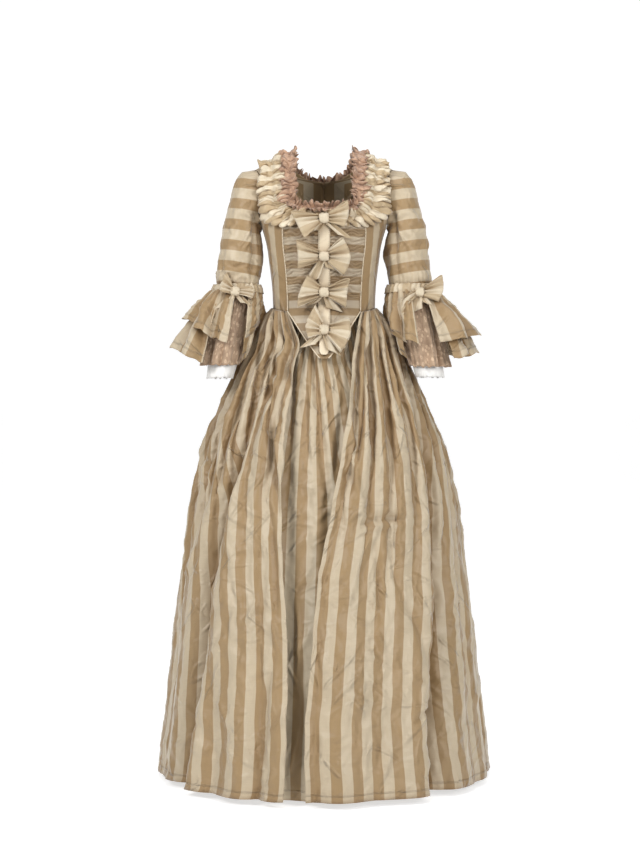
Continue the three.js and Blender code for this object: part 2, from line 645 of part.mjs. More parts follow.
const stripedTrim = () =>
  neckStrip({
    pleats: 20, columns: 80, rows: 2, low: 3.3, high: 10.5, thick: LIGHT_CLOTH,
    from: () => 17, to: ({ trim }) => 17 + trim,
  });
const tulleRuche = () =>
  neckStrip({
    pleats: 20, columns: 60, rows: 2, low: 1.3, high: 10.5, thick: NET,
    from: () => -7, to: () => 13,
  });

// ---------------------------------------------------------------- bows
const solidOf = (geometry) => {
  geometry.deleteAttribute("normal");
  geometry.deleteAttribute("uv");
  const merged = mergeVertices(geometry, 1e-4);
  return new wasm.Manifold(
    new wasm.Mesh({
      numProp: 3,
      vertProperties: merged.attributes.position.array,
      triVerts: new Uint32Array(merged.index.array),
    }),
  );
};
function geometryOf(solid) {
  const { vertProperties, triVerts } = solid.getMesh();
  const geometry = new THREE.BufferGeometry();
  geometry.setAttribute("position", new THREE.BufferAttribute(new Float32Array(vertProperties), 3));
  return geometry.setIndex(new THREE.BufferAttribute(new Uint32Array(triVerts), 1));
}

// A loop of ribbon that leaves the knot, turns at its end and comes back behind. It is pinched at
// the knot. side is 1 towards +X.
function bowLoop(side, span, high) {
  const surface = (s, w) => {
    const out = Math.sin(Math.PI * clamp(s));
    const x = side * (2 + (span - 2) * out ** 0.8);
    const y = -(2.2 + 6.5 * out) * Math.cos(Math.PI * s) - 8;
    const half = mix(9, high, out ** 0.7);
    return new THREE.Vector3(x, y + 2.2 * Math.cos(3 * w) * (1 - s), half * w + 2 * out * side);
  };
  const outwards = (s) => new THREE.Vector3(side * Math.sin(Math.PI * s), -Math.cos(Math.PI * s), 0);
  return wallGeometry(sample(surface, outwards, steps(6, 0.03, 0.97), steps(2, -1, 1)), LIGHT_CLOTH, false);
}
// A flat end of ribbon that hangs from behind the knot.
function bowTail(side, length) {
  const surface = (s, w) => {
    const half = mix(8, 17, s);
    const x = side * (4 + 0.75 * length * s) + w * half;
    return new THREE.Vector3(x, -4.2 - 1.5 * Math.cos(2 * w), -3 - length * s + 0.3 * half * w * side);
  };
  const grid = sample(surface, FORWARDS, steps(1), steps(2, -1, 1));
  return wallGeometry(grid, LIGHT_CLOTH, false);
}
function bow({ right, left, high, tail }) {
  const knot = new THREE.SphereGeometry(1, 8, 5).scale(KNOT.wide, KNOT.deep, KNOT.high).translate(0, -8, 0);
  const parts = [knot, bowLoop(-1, right, high), bowLoop(1, left, high * 0.92)];
  if (tail) parts.push(bowTail(-1, tail), bowTail(1, tail * 0.9));
  return geometryOf(wasm.Manifold.union(parts.map(solidOf)));
}

// ---------------------------------------------------------------- assembly
const taffeta = new THREE.MeshStandardMaterial({ color: 0xbfa981, roughness: 0.55, metalness: 0 });
const pale = new THREE.MeshStandardMaterial({ color: 0xd3c6ac, roughness: 0.55, metalness: 0 });
const tulle = new THREE.MeshStandardMaterial({ color: 0xae8768, roughness: 0.9, metalness: 0 });
const lace = new THREE.MeshStandardMaterial({ color: 0xa5825f, roughness: 0.9, metalness: 0 });
const white = new THREE.MeshStandardMaterial({ color: 0xf0efea, roughness: 0.85, metalness: 0 });

const gown = new THREE.Group();
function add(name, geometry, material) {
  const mesh = new THREE.Mesh(geometry, material);
  mesh.name = name;
  gown.add(mesh);
  return mesh;
}

for (const [name, side] of [["right", -1], ["left", 1]]) {
  add(`bodice_front_${name}`, bodicePanel(FRONT_ROWS, side, false), taffeta);
  add(`bodice_back_${name}`, bodicePanel(BACK_ROWS, side, true), taffeta);
  add(`stomacher_${name}`, stomacherHalf(side), taffeta);
  add(`sleeve_${name}`, sleeve(side), taffeta);
  add(`elbow_band_${name}`, elbowBand(side), pale);
  add(`upper_flounce_${name}`, layer("upper_flounce", side), taffeta);
  add(`lower_flounce_${name}`, layer("lower_flounce", side), taffeta);
  add(`lace_flounce_${name}`, layer("lace_flounce", side), lace);
  add(`under_ruffle_${name}`, layer("under_ruffle", side), white);
  const elbowBow = add(`elbow_bow_${name}`, bow(ELBOW_BOW), pale);
  elbowBow.rotation.set(-0.4, 0, 0);
  elbowBow.position.set(side * ELBOW_BOW.x, ELBOW.y - ELBOW_BAND.lowOut - 0.4, -300);
}
add("centre_band", centreBand(), pale);
add("neckline_trim", stripedTrim(), pale);
add("tulle_ruche", tulleRuche(), tulle);
BOWS.forEach((shape, k) => {
  const mesh = add(`bow_${k + 1}`, bow(shape), pale);
  const slope = (frontSurface(0, shape.z + 30, 0).y - frontSurface(0, shape.z - 30, 0).y) / 60;
  mesh.rotation.set(-Math.atan(slope), shape.tilt * RAD, 0);
  mesh.position.copy(frontSurface(0, shape.z, shape.lift));
});
const ROBE_PANELS = ["robe_front_left", "robe_back_left", "robe_back_right", "robe_front_right"];
ROBE_PANELS.forEach((name, k) => add(name, robePanel(k / 4, (k + 1) / 4), taffeta));
PETTICOAT_PANELS.forEach((name, k) => add(`petticoat_${name}`, petticoatPanel(k), taffeta));

export default gown;
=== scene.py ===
"""A worn English gown of striped taffeta: the fine cloth surfaces over its solids.

Lengths are millimetres until a mesh is made. +Z is up, the front faces -Y and +X is the wearer's
left. Every cloth piece is a grid of points with flat cloth coordinates in metres as its UVs.
"""
import math

import bpy
import numpy as np
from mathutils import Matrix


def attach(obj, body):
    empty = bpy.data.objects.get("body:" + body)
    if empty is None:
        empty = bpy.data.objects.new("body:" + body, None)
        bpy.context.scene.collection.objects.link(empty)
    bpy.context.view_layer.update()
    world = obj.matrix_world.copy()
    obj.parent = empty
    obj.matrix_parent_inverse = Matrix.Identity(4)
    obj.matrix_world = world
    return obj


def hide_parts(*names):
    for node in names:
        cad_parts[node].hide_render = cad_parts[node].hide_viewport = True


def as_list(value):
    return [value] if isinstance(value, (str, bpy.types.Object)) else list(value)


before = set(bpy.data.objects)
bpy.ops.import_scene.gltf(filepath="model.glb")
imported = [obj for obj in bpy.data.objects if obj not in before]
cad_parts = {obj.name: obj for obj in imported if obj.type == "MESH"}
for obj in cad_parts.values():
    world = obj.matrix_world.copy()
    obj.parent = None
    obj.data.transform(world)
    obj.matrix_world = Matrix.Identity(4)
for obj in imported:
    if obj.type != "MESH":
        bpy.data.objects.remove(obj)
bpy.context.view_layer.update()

MM = 0.001
TAU = 2 * math.pi
RAD = math.pi / 180

# ---------------------------------------------------------------- the picture
PICTURE_HEIGHT = 854  # pixels
FOCAL_PIXELS = 1722
CAMERA_AT = (-0.0096, -4.15, -0.6266)
FLOOR_Z = -1.462
SENSOR = 36.0
SIDES = (("right", -1), ("left", 1))  # the wearer's, with the sign of x

# ---------------------------------------------------------------- driving dimensions
TAFFETA = 0.7  # thicknesses of the shells
FINE_CLOTH = 0.5
SEAM = 0.36  # half the gap between the two halves of the stomacher
WAIST_Z = -340
WAIST_DIP = 14
HEM_Z = -1447
POINT_Z = -468
NECK_X = 81
ARMHOLE = {"z": -80, "high": 72, "deep": 50}
PLEATS = 32
FULLNESS = 2 / 2.3  # under 1, the body's sections are squarer than ellipses
SHOULDER_FALL = 120  # how far below the shoulder line the body comes to its full depth
ROBE_WIDTH = 2.75  # least flat width of the robe's skirt, metres
PETTICOAT_WIDTH = 2.5
STRIPE = 0.025  # metres


def table(columns, *rows):
    """A table as one array for each named column."""
    return {name: np.array([row[k] for row in rows], float) for k, name in enumerate(columns.split())}


TORSO = table(
    "z half front back",
    (-345, 122.5, 99, 96),
    (-290, 125, 107, 98),
    (-240, 131, 116, 103),
    (-190, 138, 122, 107),
    (-150, 149, 117, 108),
    (-110, 164, 105, 106),
    (-60, 178, 92, 98),
    (0, 184, 84, 90),
    (40, 186, 80, 86),
)
SHOULDER_LINE = table("x z", (0, 32), (78, 31), (120, 15), (167, -8), (186, -20))
SKIRT = table(
    "z half front back",
    (-341, 122, 100, 97),
    (-360, 138, 110, 117),
    (-385, 153, 119, 140),
    (-417, 167, 130, 163),
    (-450, 181, 141, 181),
    (-494, 201, 158, 200),
    (-540, 221, 175, 217),
    (-600, 248, 196, 237),
    (-682, 281, 223, 263),
    (-802, 308, 260, 297),
    (-923, 328, 290, 327),
    (-1043, 346, 318, 354),
    (-1164, 358, 345, 379),
    (-1284, 371, 370, 403),
    (-1460, 392, 396, 430),
)
OPENING = table(
    "z left right",
    (-341, 88, 88),
    (-380, 72, 76),
    (-432, 54, 66),
    (-498, 68, 60),
    (-600, 83, 50),
    (-815, 95, 15),
    (-969, 90, -14),
    (-1122, 81, -28),
    (-1326, 82, -44),
    (-1460, 88, -40),
)
DEEP_FOLDS = [
    # place round the cloth at three heights, half widths before and after it, depth at the hem,
    # height where it starts, and how far its steep side overhangs
    {"at": (0.137, 0.147, 0.127), "before": 0.009, "after": 0.021, "deep": 80, "from": -430, "lap": 27},
    {"at": (0.935, 0.898, 0.882), "before": 0.02, "after": 0.009, "deep": 78, "from": -420, "lap": -27},
    {"at": (0.33, 0.33, 0.32), "before": 0.014, "after": 0.03, "deep": 34, "from": -540, "lap": 10},
    {"at": (0.5, 0.51, 0.5), "before": 0.02, "after": 0.02, "deep": 36, "from": -420, "lap": 0},
    {"at": (0.68, 0.67, 0.69), "before": 0.03, "after": 0.014, "deep": 34, "from": -560, "lap": -10},
]
FOLD_HEIGHTS = (-660, -1000, -1447)
FRONT_ROWS = [
    # edge by the stomacher and neck; then the side seam's height, or the armhole's angle
    {"x": 87, "z": -354, "side_z": -340},
    {"x": 88, "z": -310, "side_z": -300},
    {"x": 92, "z": -250, "side_z": -245},
    {"x": 98, "z": -195, "side_z": -195},
    {"x": 98, "z": -150, "arm": 180},
    {"x": 87, "z": -120, "arm": 148},
    {"x": 77, "z": -92, "arm": 118},
    {"x": 76, "z": -58, "arm": 90},
    {"x": 77, "z": -22, "arm": 62},
    {"x": 79, "z": 10, "arm": 36},
    {"x": 80.5, "z": 26, "arm": 15},
    {"x": NECK_X, "z": None, "arm": 0},
]
BACK_ROWS = [
    {"x": 0, "z": -340, "side_z": -340},
    {"x": 0, "z": -300, "side_z": -300},
    {"x": 0, "z": -245, "side_z": -245},
    {"x": 0, "z": -190, "side_z": -195},
    {"x": 0, "z": -140, "arm": 180},
    {"x": 0, "z": -95, "arm": 148},
    {"x": 0, "z": -58, "arm": 118},
    {"x": 0, "z": -26, "arm": 90},
    {"x": 42, "z": -20, "arm": 62},
    {"x": 68, "z": -4, "arm": 36},
    {"x": 78, "z": 17, "arm": 15},
    {"x": NECK_X, "z": None, "arm": 0},
]
NECKLINE = [
    # x, z, the trim's width, and 1 in front or -1 behind: from the centre front over the shoulder
    # to the centre back
    (0, -104, 34, 1),
    (38, -103, 36, 1),
    (63, -98, 40, 1),
    (75, -84, 50, 1),
    (76, -55, 58, 1),
    (77, -20, 62, 1),
    (79, 10, 60, 1),
    (NECK_X, None, 58, 1),
    (78, 17, 54, -1),
    (68, -4, 50, -1),
    (40, -21, 46, -1),
    (0, -26, 44, -1),
]
SLEEVE = table(
    "k out_x out_z in_x in_z deep fore",
    (1, 196, -13, 154, -158, 54, 0),
    (2, 214, -38, 152, -164, 56, 0),
    (3, 227, -84, 150, -173, 57, 1),
    (4, 243, -150, 147, -197, 57, 3),
    (5, 251, -214, 148, -232, 55, 5),
    (6, 257, -262, 155, -266, 53, 7),
    (7, 259, -293, 159, -293, 50, 8.6),
)
ELBOW = {"x": 209, "y": -8.6, "z": -293.4, "outwards": 0.14, "forwards": 0.36}
LAYERS = {
    "under_ruffle": {"waves": 7, "swing": 0.8, "top": 48.4, "gap": None},
    "lace_flounce": {"waves": 11, "swing": 6, "top": 51.4, "gap": None},
    "lower_flounce": {"waves": 7, "swing": 9, "top": 53.4, "gap": {-1: (57, 124), 1: (51, 124)}},
    "upper_flounce": {"waves": 7, "swing": 9, "top": 55.4, "gap": {-1: (92, 118), 1: (64, 95)}},
}
HEMS = {
    # height and reach of each layer's hem, on its outer, front, inner and back side
    ("under_ruffle", -1): ((-511, 38), (-511, 34), (-511, 25), (-511, 34)),
    ("under_ruffle", 1): ((-509, 45), (-509, 34), (-509, 22), (-509, 34)),
    ("lace_flounce", -1): ((-480, 55), (-482, 46), (-478, 33), (-478, 46)),
    ("lace_flounce", 1): ((-484, 64), (-486, 48), (-480, 32), (-480, 46)),
    ("lower_flounce", -1): ((-440, 129), (-488, 82), (-440, 45), (-462, 78)),
    ("lower_flounce", 1): ((-452, 133), (-470, 84), (-440, 46), (-462, 80)),
    ("upper_flounce", -1): ((-370, 112), (-428, 86), (-384, 60), (-400, 84)),
    ("upper_flounce", 1): ((-410, 146), (-432, 90), (-396, 60), (-410, 88)),
}
# long and wide are the flat strip's, in metres
ELBOW_BAND = {"high": -285, "low": -306, "top_out": 54.6, "low_out": 62, "long": 0.44, "wide": 0.026}
ARM_ROUND = 55  # the sleeve's mean radius
FORWARDS = np.array((0.0, -1.0, 0.0))
TRIM_REACH = 150
BAND_HALF = 14.5


# ---------------------------------------------------------------- numbers and noise
def mix(a, b, t):
    return a + (b - a) * t


def clamp(t, low=0.0, high=1.0):
    return np.clip(t, low, high)


def ease(t):
    t = clamp(t)
    return t * t * (3 - 2 * t)


def rise(start, end, at):
    """0 before start and 1 after end, with a soft ramp between. start may be above end."""
    return ease((at - start) / (end - start))


def power(t, p):
    return np.sign(t) * np.abs(t) ** p


def bell(t):
    """A smooth hump: 1 at 0, and next to nothing past 2 on either side."""
    return np.exp(-(t**2))


def read(tab, key, at, column):
    """A smooth curve through a table's column, read at places in its key column."""
    keys, values = tab[key], tab[column]
    if keys[-1] < keys[0]:
        keys, values = keys[::-1], values[::-1]
    n = len(keys)
    before = np.maximum(np.arange(n) - 1, 0)
    after = np.minimum(np.arange(n) + 1, n - 1)
    slope = (values[after] - values[before]) / (keys[after] - keys[before])
    at = np.asarray(at, float)
    i = np.clip(np.searchsorted(keys, at) - 1, 0, n - 2)
    span = keys[i + 1] - keys[i]
    t = clamp((at - keys[i]) / span)
    t2, t3 = t * t, t * t * t
    start = (2 * t3 - 3 * t2 + 1) * values[i] + (t3 - 2 * t2 + t) * span * slope[i]
    return start + (3 * t2 - 2 * t3) * values[i + 1] + (t3 - t2) * span * slope[i + 1]


LATTICE = 128


def noise(u, v, seed):
    """Gradient noise of about -1 to 1, with one lump to each unit of u and v."""
    turn = np.random.default_rng(round(10 * seed) % 9973).uniform(0, TAU, (LATTICE, LATTICE))
    u, v = np.broadcast_arrays(np.asarray(u, float), np.asarray(v, float))
    i, j = np.floor(u).astype(int), np.floor(v).astype(int)
    du, dv = u - i, v - j

    def corner(a, b):
        angle = turn[(i + a) % LATTICE, (j + b) % LATTICE]
        return np.cos(angle) * (du - a) + np.sin(angle) * (dv - b)

    su, sv = ease(du), ease(dv)
    low = mix(corner(0, 0), corner(1, 0), su)
    high = mix(corner(0, 1), corner(1, 1), su)
    return 1.5 * mix(low, high, sv)


def crumple(u, v, size, seed, tall=1.5):
    """Relief of crisp cloth: sharp creases that wander between smooth facets, about -1 to 1."""
    wu = u / size + 0.5 * noise(u / size / 1.8, v / size / 1.8, seed)
    wv = v / size / tall + 0.5 * noise(u / size / 1.8, v / size / 1.8, seed + 1)
    valleys = np.abs(noise(wu, wv, seed + 2))
    ridges = np.abs(noise(1.7 * wu + 9, 1.7 * wv, seed + 3))
    where = 0.6 + 0.7 * noise(wu / 2.5, wv / 2.5, seed + 4)
    return where * (1.7 * valleys - 1.2 * ridges)


def groove(turns, sharp=0.7):
    """A fold's profile over its turns: 1 on the rounded ridge, -1 in the sharp groove."""
    return 2 * np.abs(np.cos(math.pi * turns)) ** sharp - 1


def creases(rows, a, b):
    """Single creases laid one by one: from a0, b0 to a1, b1, with bow, half width and height."""
    out = np.zeros(np.broadcast(a, b).shape)
    for a0, b0, a1, b1, bow, wide, high in rows:
        length = math.hypot(a1 - a0, b1 - b0)
        along = ((a - a0) * (a1 - a0) + (b - b0) * (b1 - b0)) / length**2
        off = ((b - b0) * (a1 - a0) - (a - a0) * (b1 - b0)) / length
        inside = clamp(along)
        off = off - 4 * bow * inside * (1 - inside)
        taper = np.sin(math.pi * inside) ** 0.7 * ((along > 0) & (along < 1))
        out += high * taper * np.maximum(0, 1 - np.abs(off) / wide) ** 1.4
    return out


# ---------------------------------------------------------------- meshes
def steps(count, start=0.0, end=1.0):
    return np.linspace(start, end, count + 1)


def slopes(points, closed):
    """The directions along and across a grid of points."""
    if closed:
        along = np.roll(points, -1, 1) - np.roll(points, 1, 1)
    else:
        along = np.gradient(points, axis=1)
    return along, np.gradient(points, axis=0)


def normals(points, closed, out):
    along, across = slopes(points, closed)
    normal = np.cross(along, across)
    normal /= np.maximum(np.linalg.norm(normal, axis=2, keepdims=True), 1e-9)
    return normal if np.sum(normal * out) > 0 else -normal


def ring(grid, step=0.0):
    """A grid with its first column again at the end, one turn further on."""
    return np.concatenate([grid, grid[:, :1] + step], 1)


def link(name, data):
    piece = bpy.data.objects.new(name, data)
    bpy.context.scene.collection.objects.link(piece)
    return piece


def made_mesh(name, places, faces, smooth, material, uv=None):
    """An object with one material. places are metres, and uv has a row for each face corner."""
    mesh = bpy.data.meshes.new(name)
    mesh.from_pydata(places, [], faces)
    mesh.polygons.foreach_set("use_smooth", smooth)
    if uv is not None:
        layer = mesh.uv_layers.new(name="UVMap")
        layer.data.foreach_set("uv", uv.astype(np.float32).ravel())
    mesh.materials.append(material)
    mesh.update()
    return link(name, mesh)


def shell(name, points, uv, out, material, thick, closed=False):
    """A thin closed shell on a grid of points. out is any direction on the cloth's outer side."""
    rows, cols = points.shape[:2]
    normal = normals(points, closed, out)
    turned = np.sum(np.cross(*slopes(points, closed)) * normal) < 0
    last = cols if closed else cols - 1
    j, i = (a.ravel() for a in np.meshgrid(np.arange(rows - 1), np.arange(last), indexing="ij"))
    k, r = np.arange(last), np.arange(rows - 1)
    quads = [
        [(j, i, 0), (j, i + 1, 0), (j + 1, i + 1, 0), (j + 1, i, 0)],
        [(j, i, 1), (j + 1, i, 1), (j + 1, i + 1, 1), (j, i + 1, 1)],
        [(0 * k, k, 0), (0 * k, k, 1), (0 * k, k + 1, 1), (0 * k, k + 1, 0)],
        [(rows - 1 + 0 * k, k, 0), (rows - 1 + 0 * k, k + 1, 0),
         (rows - 1 + 0 * k, k + 1, 1), (rows - 1 + 0 * k, k, 1)],
    ]
    if not closed:
        quads.append([(r, 0 * r, 0), (r + 1, 0 * r, 0), (r + 1, 0 * r, 1), (r, 0 * r, 1)])
        quads.append([(r, last + 0 * r, 0), (r, last + 0 * r, 1),
                      (r + 1, last + 0 * r, 1), (r + 1, last + 0 * r, 0)])
    corner, texel = [], []
    for quad in quads:
        corner.append(np.stack([side * rows * cols + a * cols + b % cols for a, b, side in quad], 1))
        texel.append(np.stack([a * uv.shape[1] + b for a, b, _ in quad], 1))
    corner, texel = np.concatenate(corner), np.concatenate(texel)
    if turned:
        corner, texel = corner[:, ::-1], texel[:, ::-1]
    smooth = np.arange(len(corner)) < 2 * len(i)
    both = np.concatenate([points.reshape(-1, 3), (points - thick * normal).reshape(-1, 3)]) * MM
    corner_uv = uv.reshape(-1, 2)[texel.ravel()]
    return made_mesh(name, both.tolist(), corner.tolist(), smooth, material, corner_uv)


def join(name, pieces):
    """Joins several meshes into the first, so that a bow is one piece."""
    with bpy.context.temp_override(
        active_object=pieces[0], object=pieces[0], selected_objects=pieces,
        selected_editable_objects=pieces,
    ):
        bpy.ops.object.join()
    pieces[0].name = name
    return pieces[0]


def place(piece, node=None):
    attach(piece, "root")
    if node:
        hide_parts(node)


def lengths(points, axis):
    """Lengths run along one way of a grid, in metres from its start."""
    step = np.linalg.norm(np.diff(points, axis=axis), axis=2)
    return np.insert(np.cumsum(step, axis=axis), 0, 0, axis=axis) * MM


def pair(u, v):
    """Flat coordinates from their two grids."""
    return np.stack(np.broadcast_arrays(u, v), 2)


LEAST_SHARE = 0.31  # of width times length that a cut's area is taken as, at least


def cut_of(uv):
    """A piece's flat width, length and area, from its flat coordinates."""
    u, v = uv[..., 0], uv[..., 1]
    along, across = np.diff(uv, axis=1)[:-1], np.diff(uv, axis=0)[:, :-1]
    area = np.abs(along[..., 0] * across[..., 1] - along[..., 1] * across[..., 0]).sum()
    width, length = float(np.ptp(u)), float(np.ptp(v))
    return width, length, float(clamp(area, LEAST_SHARE * width * length, width * length))


def cloth(name, points, uv, out, material, closed=False, thick=TAFFETA):
    """One sheet of cloth; its flat width, length and area are worked out. It replaces the node of its name.
    """
    piece = shell(name + "_cloth", points, uv, out, material, thick, closed)
    place(piece, name)
    width, length, area = cut_of(uv)


# ---------------------------------------------------------------- materials
class Nodes:
    """A short way to write node trees. Each method adds nodes and returns the last one's output."""

    def __init__(self, name):
        self.material = bpy.data.materials.new(name)
        self.material.use_nodes = True
        self.tree = self.material.node_tree
        self.shader = self.tree.nodes["Principled BSDF"]

    def add(self, kind, inputs=(), output=0, **settings):
        node = self.tree.nodes.new(kind)
        for key, value in settings.items():
            setattr(node, key, value)
        for key, value in dict(inputs).items():
            self.put(node.inputs[key], value)
        return node.outputs[output]

    def put(self, socket, value):
        if isinstance(value, bpy.types.NodeSocket):
            self.tree.links.new(value, socket)
        else:
            socket.default_value = value

    def math(self, operation, a, b=0.0, c=0.0):
        return self.add("ShaderNodeMath", {0: a, 1: b, 2: c}, operation=operation)

    def between(self, value, low, high, to_low=0.0, to_high=1.0):
        inputs = {"Value": value, "From Min": low, "From Max": high, "To Min": to_low, "To Max": to_high}
        return self.add("ShaderNodeMapRange", inputs, interpolation_type="SMOOTHSTEP")

    def line(self, value, at, near, far):
        """1 where value is within near of at, falling to 0 at far."""
        off = self.math("ABSOLUTE", self.math("SUBTRACT", value, at))
        return self.between(off, near, far, 1.0, 0.0)

    def times(self, light, value, gain, base):
        """light times a share of value: light * (value * gain + base)."""
        return self.math("MULTIPLY", light, self.math("MULTIPLY_ADD", value, gain, base))

    def voronoi(self, vector, scale, randomness=1.0, feature="F1"):
        inputs = {"Vector": vector, "Scale": scale, "Randomness": randomness}
        return self.add("ShaderNodeTexVoronoi", inputs, feature=feature)

    def blend(self, share, a, b, blend_type="MIX"):
        node = self.tree.nodes.new("ShaderNodeMix")
        node.data_type = "RGBA"
        node.blend_type = blend_type
        self.put(node.inputs[0], share)
        self.put(node.inputs[6], a)
        self.put(node.inputs[7], b)
        return node.outputs[2]

    def scaled(self, vector, x, y, z=1.0):
        return self.add("ShaderNodeMapping", {"Vector": vector, "Scale": (x, y, z)})

    def wrinkles(self, uv, scale, turn, thin, share):
        """Single creases: long thin ridges that show only here and there."""
        inputs = {"Vector": uv, "Rotation": (0, 0, turn), "Location": (turn, 0, 0)}
        spun = self.add("ShaderNodeMapping", inputs)
        field = self.noise(self.scaled(spun, 1, 0.3), scale, 0.5, 0.3)
        where = self.between(self.noise(spun, 0.8 * scale, 1.0), share, share + 0.12)
        return self.math("MULTIPLY", self.line(field, 0.5, 0.0, thin), where)

    def noise(self, vector, scale, detail=2.0, rough=0.5, output=0):
        inputs = {"Vector": vector, "Scale": scale, "Detail": detail, "Roughness": rough}
        return self.add("ShaderNodeTexNoise", inputs, output)

    def painted_fold_shade(self, color, reach, deepest):
        """Painted warm shade in the folds, from an occlusion node: the cloth's colour times deepest far
        inside them.
        """
        open_share = self.add("ShaderNodeAmbientOcclusion", {"Distance": reach}, 1, samples=6)
        return self.blend(1.0, color, self.blend(open_share, deepest, (1, 1, 1, 1)), "MULTIPLY")

    def bump(self, height, distance, strength=1.0, normal=None):
        inputs = {"Height": height, "Distance": distance, "Strength": strength}
        if normal is not None:
            inputs["Normal"] = normal
        return self.add("ShaderNodeBump", inputs)

    def finish(self, color, normal, roughness, sheen=0.0):
        inputs = {"Base Color": color, "Roughness": roughness, "Sheen Weight": sheen,
                  "Sheen Roughness": 0.45, "Specular IOR Level": 0.4}
        if normal is not None:
            inputs["Normal"] = normal
        for name, value in inputs.items():
            self.put(self.shader.inputs[name], value)
        return self.material


TAN = (0.263, 0.175, 0.084, 1)
CREAM = (0.408, 0.335, 0.232, 1)
# The gown's taffeta a little darker for the robe's skirt: painted shade.
SKIRT_SHADED_TAN = (0.252, 0.168, 0.08, 1)
SKIRT_SHADED_CREAM = (0.388, 0.318, 0.22, 1)
# the colour that the painted shade in the folds multiplies in, deepest inside them
WARM_SHADE = (0.7, 0.57, 0.44, 1)
PALE_TAN = (0.368, 0.286, 0.179, 1)
PALE_CREAM = (0.486, 0.415, 0.303, 1)
BAND_CREAM = (0.59, 0.503, 0.37, 1)
# The gown's taffeta made darker for the stomacher: painted shade that stands in for the shade of its
# gathers.
STOMACHER_SHADED_TAN = (0.235, 0.16, 0.081, 1)
STOMACHER_SHADED_CREAM = (0.352, 0.289, 0.206, 1)
TRIM_TAN = (0.385, 0.29, 0.172, 1)
TRIM_CREAM = (0.56, 0.485, 0.36, 1)

HEM_LINE = 0.016  # metres above the hem
STITCH_LINE = 0.0092  # metres from the band's middle
STITCH = 0.0025  # its length in metres
WRINKLES = [
    # lumps to a metre, turn, half width in the noise, where it starts to show, height
    (13.0, 0.75, 0.05, 0.46, 0.0028),
    (15.0, -0.9, 0.055, 0.47, 0.0026),
    (24.0, 1.35, 0.08, 0.5, 0.0014),
    (30.0, 0.25, 0.1, 0.52, 0.001),
]


def taffeta(name, tan=TAN, cream=CREAM, hem=False, crumpled=1.0, stitched=False, hollow=0.04):
    """Striped silk taffeta. The first flat coordinate runs across the stripes. hem sews a line
    above the lower edge, and stitched a dashed one down each side."""
    n = Nodes(name)
    uv = n.add("ShaderNodeUVMap", output=0)
    across = n.add("ShaderNodeSeparateXYZ", {0: uv}, 0)
    along = n.add("ShaderNodeSeparateXYZ", {0: uv}, 1)
    fold = n.math("PINGPONG", across, STRIPE)
    stripe = n.between(fold, STRIPE / 2 - 0.0006, STRIPE / 2 + 0.0006)
    threads = n.noise(n.scaled(uv, 1400, 25), 1.0, 2.0)
    slubs = n.noise(n.scaled(uv, 30, 1100), 1.0, 2.0)
    patches = n.noise(n.scaled(uv, 9, 6), 1.0, 3.0)
    color = n.blend(stripe, cream, tan)
    light = n.math("MULTIPLY_ADD", threads, 0.16, 0.92)
    light = n.times(light, slubs, 0.14, 0.93)
    light = n.times(light, patches, 0.2, 0.9)
    place_at = n.add("ShaderNodeTexCoord", output=3)
    warped = n.blend(0.035, place_at, n.noise(place_at, 14, 2.0, output=1), "LINEAR_LIGHT")
    where = n.between(n.noise(place_at, 6, 2.0), 0.4, 0.62, 0.25, 1.0)
    crisp = n.bump(n.math("MULTIPLY", n.voronoi(warped, 24.0), where), 0.005 * crumpled, 0.9)
    crisp = n.bump(n.math("MULTIPLY", n.voronoi(warped, 62.0), where), 0.0012 * crumpled, 0.6, crisp)
    for scale, turn, thin, share, tall in WRINKLES:
        lines = n.wrinkles(uv, scale, turn, thin, share)
        crisp = n.bump(lines, tall * crumpled, 1.0, crisp)
    if hem:
        line = n.line(along, HEM_LINE, 0.0008, 0.003)
        light = n.times(light, line, -0.16, 1.0)
        crisp = n.bump(line, 0.0012, 1.0, crisp)
    if stitched:
        row = n.line(n.math("ABSOLUTE", across), STITCH_LINE, 0.0003, 0.0008)
        dash = n.between(n.math("PINGPONG", along, STITCH), 0.0008, 0.0014)
        stitch = n.math("MULTIPLY", row, dash)
        light = n.times(light, stitch, -0.35, 1.0)
        crisp = n.bump(stitch, 0.0006, 1.0, crisp)
    normal = n.bump(n.math("ADD", threads, slubs), 0.00012, 0.6, crisp)
    grey = n.add("ShaderNodeCombineColor", {0: light, 1: light, 2: light})
    # painted shade: the colour darkens towards WARM_SHADE in folds and creases, as far as hollow reaches
    color = n.painted_fold_shade(n.blend(1.0, color, grey, "MULTIPLY"), hollow, WARM_SHADE)
    rough = n.math("MULTIPLY_ADD", patches, 0.15, 0.4)
    return n.finish(color, normal, rough, 0.25)


def net(name, light, dark, motifs):
    """Tulle or lace: threads over gaps, with flowers in the lace."""
    n = Nodes(name)
    uv = n.add("ShaderNodeUVMap", output=0)
    mesh = n.voronoi(uv, 700.0, 0.3, "DISTANCE_TO_EDGE")
    thread = n.between(mesh, 0.05, 0.3, 1.0, 0.0)
    cloudy = n.between(n.noise(n.scaled(uv, 60, 60), 1.0, 3.0), 0.35, 0.65)
    shade = n.math("MULTIPLY_ADD", thread, 0.35, n.math("MULTIPLY", cloudy, 0.5))
    if motifs:
        heart = n.voronoi(n.scaled(uv, 95, 80), 1.0, 0.8)
        leaf = n.between(heart, 0.26, 0.36, 1.0, 0.0)
        rim = n.line(heart, 0.33, 0.02, 0.08)
        hole = n.between(heart, 0.1, 0.16, 1.0, 0.0)
        flower = n.math("SUBTRACT", n.math("MAXIMUM", rim, leaf), hole)
        shade = n.math("MULTIPLY_ADD", flower, 0.6, n.math("MULTIPLY", shade, 0.6))
    # painted shade in the net's folds, as on the taffeta
    color = n.painted_fold_shade(n.blend(shade, dark, light), 0.02, WARM_SHADE)
    place_at = n.add("ShaderNodeTexCoord", output=3)
    normal = n.bump(n.noise(place_at, 160, 2.0), 0.0006, 0.7)
    normal = n.bump(shade, 0.0006, 0.8, normal)
    return n.finish(color, normal, 0.8, 0.3)


